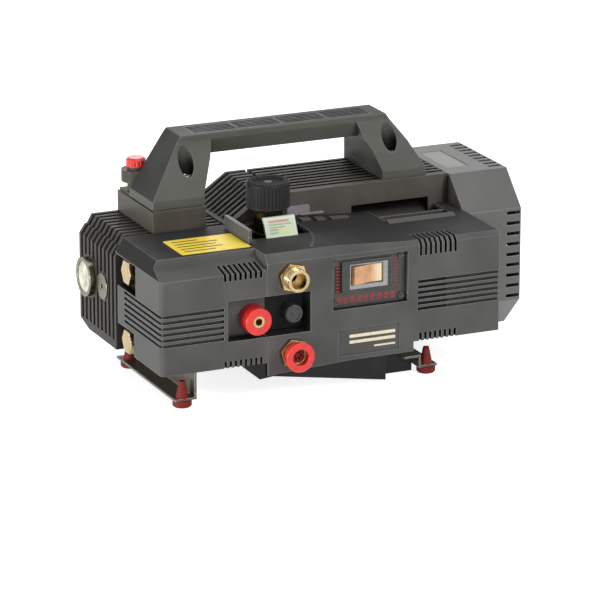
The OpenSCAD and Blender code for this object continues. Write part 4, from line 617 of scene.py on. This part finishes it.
def make_switch_panel():
    """A dark film on the recess floor with a dark red band, plain scale marks and rows of plain blocks."""
    sheet = bmesh.new()
    corner = (RECESS_LEFT + PANEL_CLEAR, RECESS_FLOOR_Y, RECESS_LOW + PANEL_CLEAR)
    wide = RECESS_WIDTH - 2 * PANEL_CLEAR
    tall = RECESS_HEIGHT - 2 * PANEL_CLEAR
    film(sheet, corner, RIGHT, UP, wide, tall, PANEL_CORNER)
    make_piece("switch_panel", sheet, DARK_FILM)
    face = RECESS_FLOOR_Y - FILM
    band = bmesh.new()
    film(band, (BAND_LEFT, face, BAND_LOW), RIGHT, UP, BAND_WIDE, BAND_TALL, BAND_CORNER, THINNEST_INK)
    make_piece("switch_band", band, MAROON_INK)
    marks = bmesh.new()
    for left in MARK_COLUMNS:
        for row in range(MARK_ROWS):
            spot = (left, face, MARK_LOW + row * MARK_PITCH)
            film(marks, spot, RIGHT, UP, MARK_WIDE, MARK_TALL, MARK_CORNER, INK)
    for column in range(BLOCK_COLUMNS):
        for low, high in BLOCK_ROWS:
            spot = (BLOCK_LEFT + column * BLOCK_PITCH, face, low)
            film(marks, spot, RIGHT, UP, BLOCK_WIDE, high, BLOCK_CORNER, INK)
    make_piece("switch_marks", marks, RED_INK)


SWITCH_FRONT_Y = 3
LENS_LEFT, LENS_RIGHT = 202.6, 237.4
LENS_LOW, LENS_HIGH = 103.4, 123.6
EDGING_FOOT, EDGING_CHEEK, EDGING_THIN = 4.0, 5.0, 1.2
EDGING_CORNER, EDGING_THIN_CORNER = 0.5, 0.3


def make_lens_edging():
    """A silver line printed round the rocker's lens, broad below the lens and to its right."""
    edging = bmesh.new()
    left = LENS_LEFT - EDGING_THIN
    wide = LENS_RIGHT - LENS_LEFT + EDGING_THIN + EDGING_CHEEK
    tall = LENS_HIGH - LENS_LOW
    for x, z, length, height, corner in (
        (left, LENS_LOW - EDGING_FOOT, wide, EDGING_FOOT, EDGING_CORNER),
        (left, LENS_HIGH, wide, EDGING_THIN, EDGING_CORNER),
        (left, LENS_LOW, EDGING_THIN, tall, EDGING_THIN_CORNER),
        (LENS_RIGHT, LENS_LOW, EDGING_CHEEK, tall, EDGING_CORNER),
    ):
        film(edging, (x, SWITCH_FRONT_Y, z), RIGHT, UP, length, height, corner, INK)
    make_piece("lens_edging", edging, SILVER_INK)


BADGE_LEFT, BADGE_LOW = 188, 33
BADGE_WIDTH, BADGE_DEPTH = 66, 0.8
BADGE_INSET = 4
STRIPE_CORNER = 0.8
# Each stripe's rise in the recess, its share of the width and its height.
STRIPES = ((17.5, 0.86, 3.2), (11.5, 0.86, 3.2), (5.5, 0.4, 1.8))


def make_badge():
    """Plain cream stripes printed in the shallow recess low on the front, level at their right-hand ends."""
    stripes = bmesh.new()
    for rise, share, tall in STRIPES:
        width = share * (BADGE_WIDTH - 2 * BADGE_INSET)
        spot = (BADGE_LEFT + BADGE_WIDTH - BADGE_INSET - width, BADGE_DEPTH, BADGE_LOW + rise)
        film(stripes, spot, RIGHT, UP, width, tall, STRIPE_CORNER, INK)
    make_piece("badge_stripes", stripes, CREAM_INK)


POCKET_LOW, POCKET_HIGH = 63.5, 104.5
POCKET_LEFT, POCKET_RIGHT, POCKET_BACK = 114.5, 158, 20
POCKET_LIP = 1
SHADE_SHEET, SHADE_SHEET_CORNER = 0.4, 0.5


def make_pocket_shade_sheets():
    """Thin black sheets on the back, upper and right-hand walls of the pocket behind the button, standing in
    for shade: painted shade.
    """
    shade_sheets = bmesh.new()
    wide = POCKET_RIGHT - POCKET_LEFT
    tall = POCKET_HIGH - POCKET_LOW
    deep = POCKET_BACK - POCKET_LIP
    film(shade_sheets, (POCKET_LEFT, POCKET_BACK, POCKET_LOW), RIGHT, UP, wide, tall, SHADE_SHEET_CORNER, SHADE_SHEET)
    film(shade_sheets, (POCKET_LEFT, POCKET_BACK, POCKET_HIGH), RIGHT, -REARWARD, wide, deep, SHADE_SHEET_CORNER, SHADE_SHEET)
    film(shade_sheets, (POCKET_RIGHT, POCKET_BACK, POCKET_LOW), -REARWARD, UP, deep, tall, SHADE_SHEET_CORNER, SHADE_SHEET)
    make_piece("pocket_shade_sheets", shade_sheets, BLACK_RUBBER)


RIM_OUTER, RIM_INNER = 8.4, 6.4
RIM_HIGH, RIM_CHAMFER = 1.0, 0.5
RIM_PROFILE = (
    (RIM_OUTER, -SUNK), (RIM_OUTER, RIM_HIGH - RIM_CHAMFER), (RIM_OUTER - RIM_CHAMFER, RIM_HIGH),
    (RIM_INNER + RIM_CHAMFER, RIM_HIGH), (RIM_INNER, RIM_HIGH - RIM_CHAMFER), (RIM_INNER, -SUNK),
)
DOT_PROFILE = ((1.9, -SUNK), (1.9, 0.4), (1.3, 0.8), (0.2, 0.9), (0.2, -SUNK))
DOT_STEPS = 32


def make_button_face():
    """A raised rim and a dot moulded on the reset button's face."""
    low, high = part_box("reset_button")
    face = (Vector(low) + Vector(high)) / 2 - CORNER
    centre = (face.x / MM, (low[1] - CORNER.y) / MM, face.z / MM)
    rim = bmesh.new()
    ring(rim, centre, -REARWARD, RIM_PROFILE)
    ring(rim, centre, -REARWARD, DOT_PROFILE, DOT_STEPS)
    make_piece("button_rim", rim, POLISHED_ABS, "reset_key")


OUTLET_X, OUTLET_Z = 138.1, 121.2
OUTLET_RADIUS = 11.0
OUTLET_NOSE_Y, OUTLET_HEX_Y = -17, -5
THREAD_PITCH, THREAD_HEIGHT = 1.5, 0.35
THREAD_RELIEF, THREAD_GAP = 1.5, 0.1
THREAD_CREST_SHARE = 0.6


def make_outlet_thread():
    """The outlet's M22 thread, drawn as closed ridges at its real pitch, with a plain relief at each end."""
    thread = bmesh.new()
    root = OUTLET_RADIUS - SUNK
    crest = OUTLET_RADIUS + THREAD_HEIGHT
    turns = int((OUTLET_HEX_Y - OUTLET_NOSE_Y - 2 * THREAD_RELIEF) / THREAD_PITCH)
    for i in range(turns):
        low = THREAD_RELIEF + i * THREAD_PITCH
        peak = low + THREAD_CREST_SHARE * THREAD_PITCH
        profile = ((root, low), (crest, peak), (root, low + THREAD_PITCH - THREAD_GAP))
        ring(thread, (OUTLET_X, OUTLET_NOSE_Y, OUTLET_Z), REARWARD, profile)
    make_piece("outlet_thread", thread, TURNED_BRASS)


# Points along the ridge's crown, from the back of the housing's top to its front.
RIDGE_ARC = ((184.5, 94), (186.2, 82), (186, 70), (183.8, 56), (180, 43), (173.5, 29), (164.5, 14))
RIDGE_WIDTH = 3.0
RIDGE_HEIGHT = 1.1
RIDGE_STEPS = 8
HOUSING_TOP = 145


def make_top_ridge():
    """The low rounded ridge that curves round the knob's side of the front housing's top."""
    ridge = bmesh.new()
    rows = []
    for i, (x, y) in enumerate(RIDGE_ARC):
        before = RIDGE_ARC[max(i - 1, 0)]
        after = RIDGE_ARC[min(i + 1, len(RIDGE_ARC) - 1)]
        course = Vector((after[0] - before[0], after[1] - before[1], 0)).normalized()
        side = course.cross(UP)
        row = []
        for step in range(RIDGE_STEPS + 1):
            angle = math.pi * step / RIDGE_STEPS
            out = side * (math.cos(angle) * RIDGE_WIDTH / 2) + UP * (math.sin(angle) * RIDGE_HEIGHT - SUNK)
            row.append(ridge.verts.new(place(x, y, HOUSING_TOP) + out * MM))
        rows.append(row)
    for i in range(len(rows) - 1):
        for j in range(RIDGE_STEPS + 1):
            ridge.faces.new((rows[i][j - 1], rows[i + 1][j - 1], rows[i + 1][j], rows[i][j]))
    ridge.faces.new(rows[0])
    ridge.faces.new(rows[-1])
    make_piece("top_ridge", ridge, MOULDED_ABS)


DECK_LEFT, DECK_LENGTH, DECK_FALL = 190, 72, 3.5
CLIP_HEIGHT, CLIP_CORNER = 2.2, 1.5
# Each clip's left, front, width and depth.
CLIPS = ((192, 98, 11, 10), (208, 96, 10, 10), (224, 97, 20, 7))


def make_deck_clips():
    """Three low clips along the back of the housing's sloping top."""
    fall = Vector((DECK_LENGTH, 0, -DECK_FALL)).normalized()
    clips = bmesh.new()
    for left, front, wide, deep in CLIPS:
        deck = HOUSING_TOP - DECK_FALL * (left - DECK_LEFT) / DECK_LENGTH
        film(clips, (left, front, deck), fall, REARWARD, wide, deep, CLIP_CORNER, CLIP_HEIGHT)
    make_piece("deck_clips", clips, DARK_NYLON)


WALL_Y = 118
# The left, low edge, width, height, corner and thickness of the saddle's pad and of its strip.
SADDLE_PARTS = ((185, 147, 24, 9.5, 1.5, 2.5), (199, 146.4, 25, 1.6, 0.6, 3.5))


def make_lead_saddle():
    """The lead's saddle on the wall in front of the motor."""
    saddle = bmesh.new()
    for left, low, wide, tall, corner, thick in SADDLE_PARTS:
        film(saddle, (left, WALL_Y, low), RIGHT, UP, wide, tall, corner, thick)
    make_piece("lead_saddle", saddle, GREY_VINYL)


SIDE_WALL_LEFT, SIDE_WALL_FRONT, SIDE_WALL_TOP = 112, 46, 159
SIDE_WALL_WIDE, SIDE_WALL_LONG = 3.5, 60
EDGE_STRIP, EDGE_STRIP_CORNER = 0.4, 0.5


def make_wall_edging():
    """A soft strip along the top of the wall at the knob's left."""
    edge = bmesh.new()
    corner = (SIDE_WALL_LEFT, SIDE_WALL_FRONT, SIDE_WALL_TOP)
    film(edge, corner, RIGHT, REARWARD, SIDE_WALL_WIDE, SIDE_WALL_LONG, EDGE_STRIP_CORNER, EDGE_STRIP)
    make_piece("wall_edging", edge, GREY_VINYL)


HOOD_TOP = 171
HOOD_PANEL_LEFT, HOOD_PANEL_FRONT = 373, 137
HOOD_PANEL_WIDE, HOOD_PANEL_DEEP, HOOD_PANEL_SUNK = 24, 64, 0.8
HOOD_PLATE_CLEAR, HOOD_PLATE_CORNER = 1, 1.5


def make_hood_plate():
    """A bare pale film in the shallow panel on the hood's top."""
    plate = bmesh.new()
    corner = (
        HOOD_PANEL_LEFT + HOOD_PLATE_CLEAR, HOOD_PANEL_FRONT + HOOD_PLATE_CLEAR, HOOD_TOP - HOOD_PANEL_SUNK,
    )
    wide = HOOD_PANEL_WIDE - 2 * HOOD_PLATE_CLEAR
    deep = HOOD_PANEL_DEEP - 2 * HOOD_PLATE_CLEAR
    film(plate, corner, RIGHT, REARWARD, wide, deep, HOOD_PLATE_CORNER)
    make_piece("hood_plate", plate, PALE_FILM)


SCREEN_Y = 4.2
SCREEN_THICK, SCREEN_CORNER = 1.0, 1.0
# Each screen's left, low edge, width and height.
SCREENS = {"vent_shade_screen": (64, 36.8, 46, 10), "louvre_shade_screen": (272, 67, 38, 36)}


def make_vent_shade_screens():
    """Dark sheets behind the slots along the pump cover's bottom edge and behind the housing's louvres,
    standing in for the shade inside: painted shade.
    """
    for name, (left, low, wide, tall) in SCREENS.items():
        screen = bmesh.new()
        film(screen, (left, SCREEN_Y, low), RIGHT, UP, wide, tall, SCREEN_CORNER, SCREEN_THICK)
        make_piece(name, screen, BLACK_RUBBER)


INLET_X, INLET_Z = 139.1, 44
SHROUD_Y = 1.6
SHROUD_INNER, SHROUD_OUTER = 11, 15.6
SHROUD_THICK = 1.0


def make_fitting_shrouds():
    """Flat rings that close the front housing round the outlet's and the inlet's hexagons."""
    shrouds = bmesh.new()
    profile = (
        (SHROUD_INNER, 0), (SHROUD_OUTER, 0), (SHROUD_OUTER, SHROUD_THICK), (SHROUD_INNER, SHROUD_THICK),
    )
    for x, z in ((OUTLET_X, OUTLET_Z), (INLET_X, INLET_Z)):
        ring(shrouds, (x, SHROUD_Y, z), -REARWARD, profile)
    make_piece("fitting_shrouds", shrouds, MOULDED_ABS)


SPRING_WIRE = 1.1 * MM
SPRING_HALF_TURNS = 3
NUT_TRAVEL = 4.5 * MM
PISTON_LIFT = 2.0 * MM


def make_unloader_spring():
    """The unloader's spring, which the pressure nut and the piston squeeze, drawn as two halves that meet at
    its middle; both halves ride on the root body and do not shorten."""
    low, high = (Vector(corner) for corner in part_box("unloader_spring"))
    middle = (low + high) / 2
    mid_radius = (high.x - low.x) / 2 - SPRING_WIRE
    half = high.z - middle.z
    for name, joint, start, end, travel in (
        ("unloader_spring_upper", "pressure_turn", 0, half, NUT_TRAVEL),
        ("unloader_spring_lower", "unloader_lift", -half, 0, PISTON_LIFT),
    ):
        coil = bmesh.new()
        wire_coil(coil, middle, start, end, mid_radius, SPRING_WIRE, SPRING_HALF_TURNS)
        piece = make_piece(name, coil, GROUND_STEEL)
        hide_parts("unloader_spring")
        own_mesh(piece)


make_unloader_spring()
make_cover_label()
make_top_ridge()
make_deck_clips()
make_lead_saddle()
make_wall_edging()
make_hood_plate()
make_vent_shade_screens()
make_fitting_shrouds()
make_plate_print()
make_switch_panel()
make_lens_edging()
make_pocket_shade_sheets()
make_badge()
make_button_face()
make_outlet_thread()


# Studio, in metres and watts

WHITE = linear("#ffffff")
FLOOR_HALF = 6.0
FLOOR_LIFT = 0.8
ROOM_LIGHT = 0.2
BACKDROP_LIGHT = 1.0
LAMP_AIM = Vector((0, 0, 0.1))
# Each lamp's place, its width and height, and its power.
LAMPS = {
    "key_softbox": ((1.3, -2.2, 1.5), (1.2, 1.2), 38),
    "front_softbox": ((-0.5, -2.8, 0.6), (1.6, 0.8), 22),
    "top_softbox": ((0.4, 0.2, 2.2), (1.2, 1.2), 22),
    "back_softbox": ((0.3, 2.8, 1.2), (1.6, 0.8), 11),
    "left_softbox": ((-2.2, -0.35, 0.2), (0.8, 0.3), 40),
}


def seen_directly(tree):
    """1 for what the camera, reflections and glass see, and 0 for light that falls on the unit."""
    path = add(tree, "ShaderNodeLightPath").outputs
    most = {"operation": "MAXIMUM"}
    shown = add(tree, "ShaderNodeMath", most, {0: path["Is Camera Ray"], 1: path["Is Glossy Ray"]}).outputs[0]
    return add(tree, "ShaderNodeMath", most, {0: shown, 1: path["Is Transmission Ray"]}).outputs[0]


def make_floor():
    """A pale floor that keeps the unit's shadow; the camera and reflections see it lifted to white."""
    mesh = bpy.data.meshes.new("studio_floor")
    corners = [(x * FLOOR_HALF, y * FLOOR_HALF, 0) for x, y in ((-1, -1), (1, -1), (1, 1), (-1, 1))]
    mesh.from_pydata(corners, [], [(0, 1, 2, 3)])
    floor = bpy.data.objects.new("studio_floor", mesh)
    bpy.context.scene.collection.objects.link(floor)
    material = finish(
        "matt_white_paint", ("#e4e4e4", "#e8e8e8"), (0.85, 0.95), patch_mm=400, grain_mm=4, depth_mm=0.02,
    )
    tree = material.node_tree
    shader = tree.nodes["Principled BSDF"]
    shader.inputs["Emission Color"].default_value = WHITE
    glow = add(tree, "ShaderNodeMath", {"operation": "MULTIPLY", 1: FLOOR_LIFT}, {0: seen_directly(tree)})
    tree.links.new(glow.outputs[0], shader.inputs["Emission Strength"])
    mesh.materials.append(material)


def make_world():
    """Even grey light from all round; the camera and reflections see white."""
    world = bpy.data.worlds.new("studio_room")
    bpy.context.scene.world = world
    world.use_nodes = True
    tree = world.node_tree
    tree.nodes.clear()
    room = add(tree, "ShaderNodeBackground", {"Color": WHITE, "Strength": ROOM_LIGHT}).outputs[0]
    white = add(tree, "ShaderNodeBackground", {"Color": WHITE, "Strength": BACKDROP_LIGHT}).outputs[0]
    mixed = add(tree, "ShaderNodeMixShader", links={0: seen_directly(tree), 1: room, 2: white}).outputs[0]
    add(tree, "ShaderNodeOutputWorld", links={"Surface": mixed})


def make_lamp(name, where, size, watts):
    """A soft rectangular lamp that faces the unit."""
    data = bpy.data.lights.new(name, "AREA")
    data.shape = "RECTANGLE"
    data.size, data.size_y = size
    data.energy = watts
    lamp = bpy.data.objects.new(name, data)
    bpy.context.scene.collection.objects.link(lamp)
    lamp.location = where
    lamp.rotation_mode = "QUATERNION"
    lamp.rotation_quaternion = (LAMP_AIM - Vector(where)).to_track_quat("-Z", "Y")


make_floor()
make_world()
for lamp_name, (lamp_place, lamp_size, lamp_watts) in LAMPS.items():
    make_lamp(lamp_name, lamp_place, lamp_size, lamp_watts)

bpy.context.scene.view_settings.view_transform = "Standard"
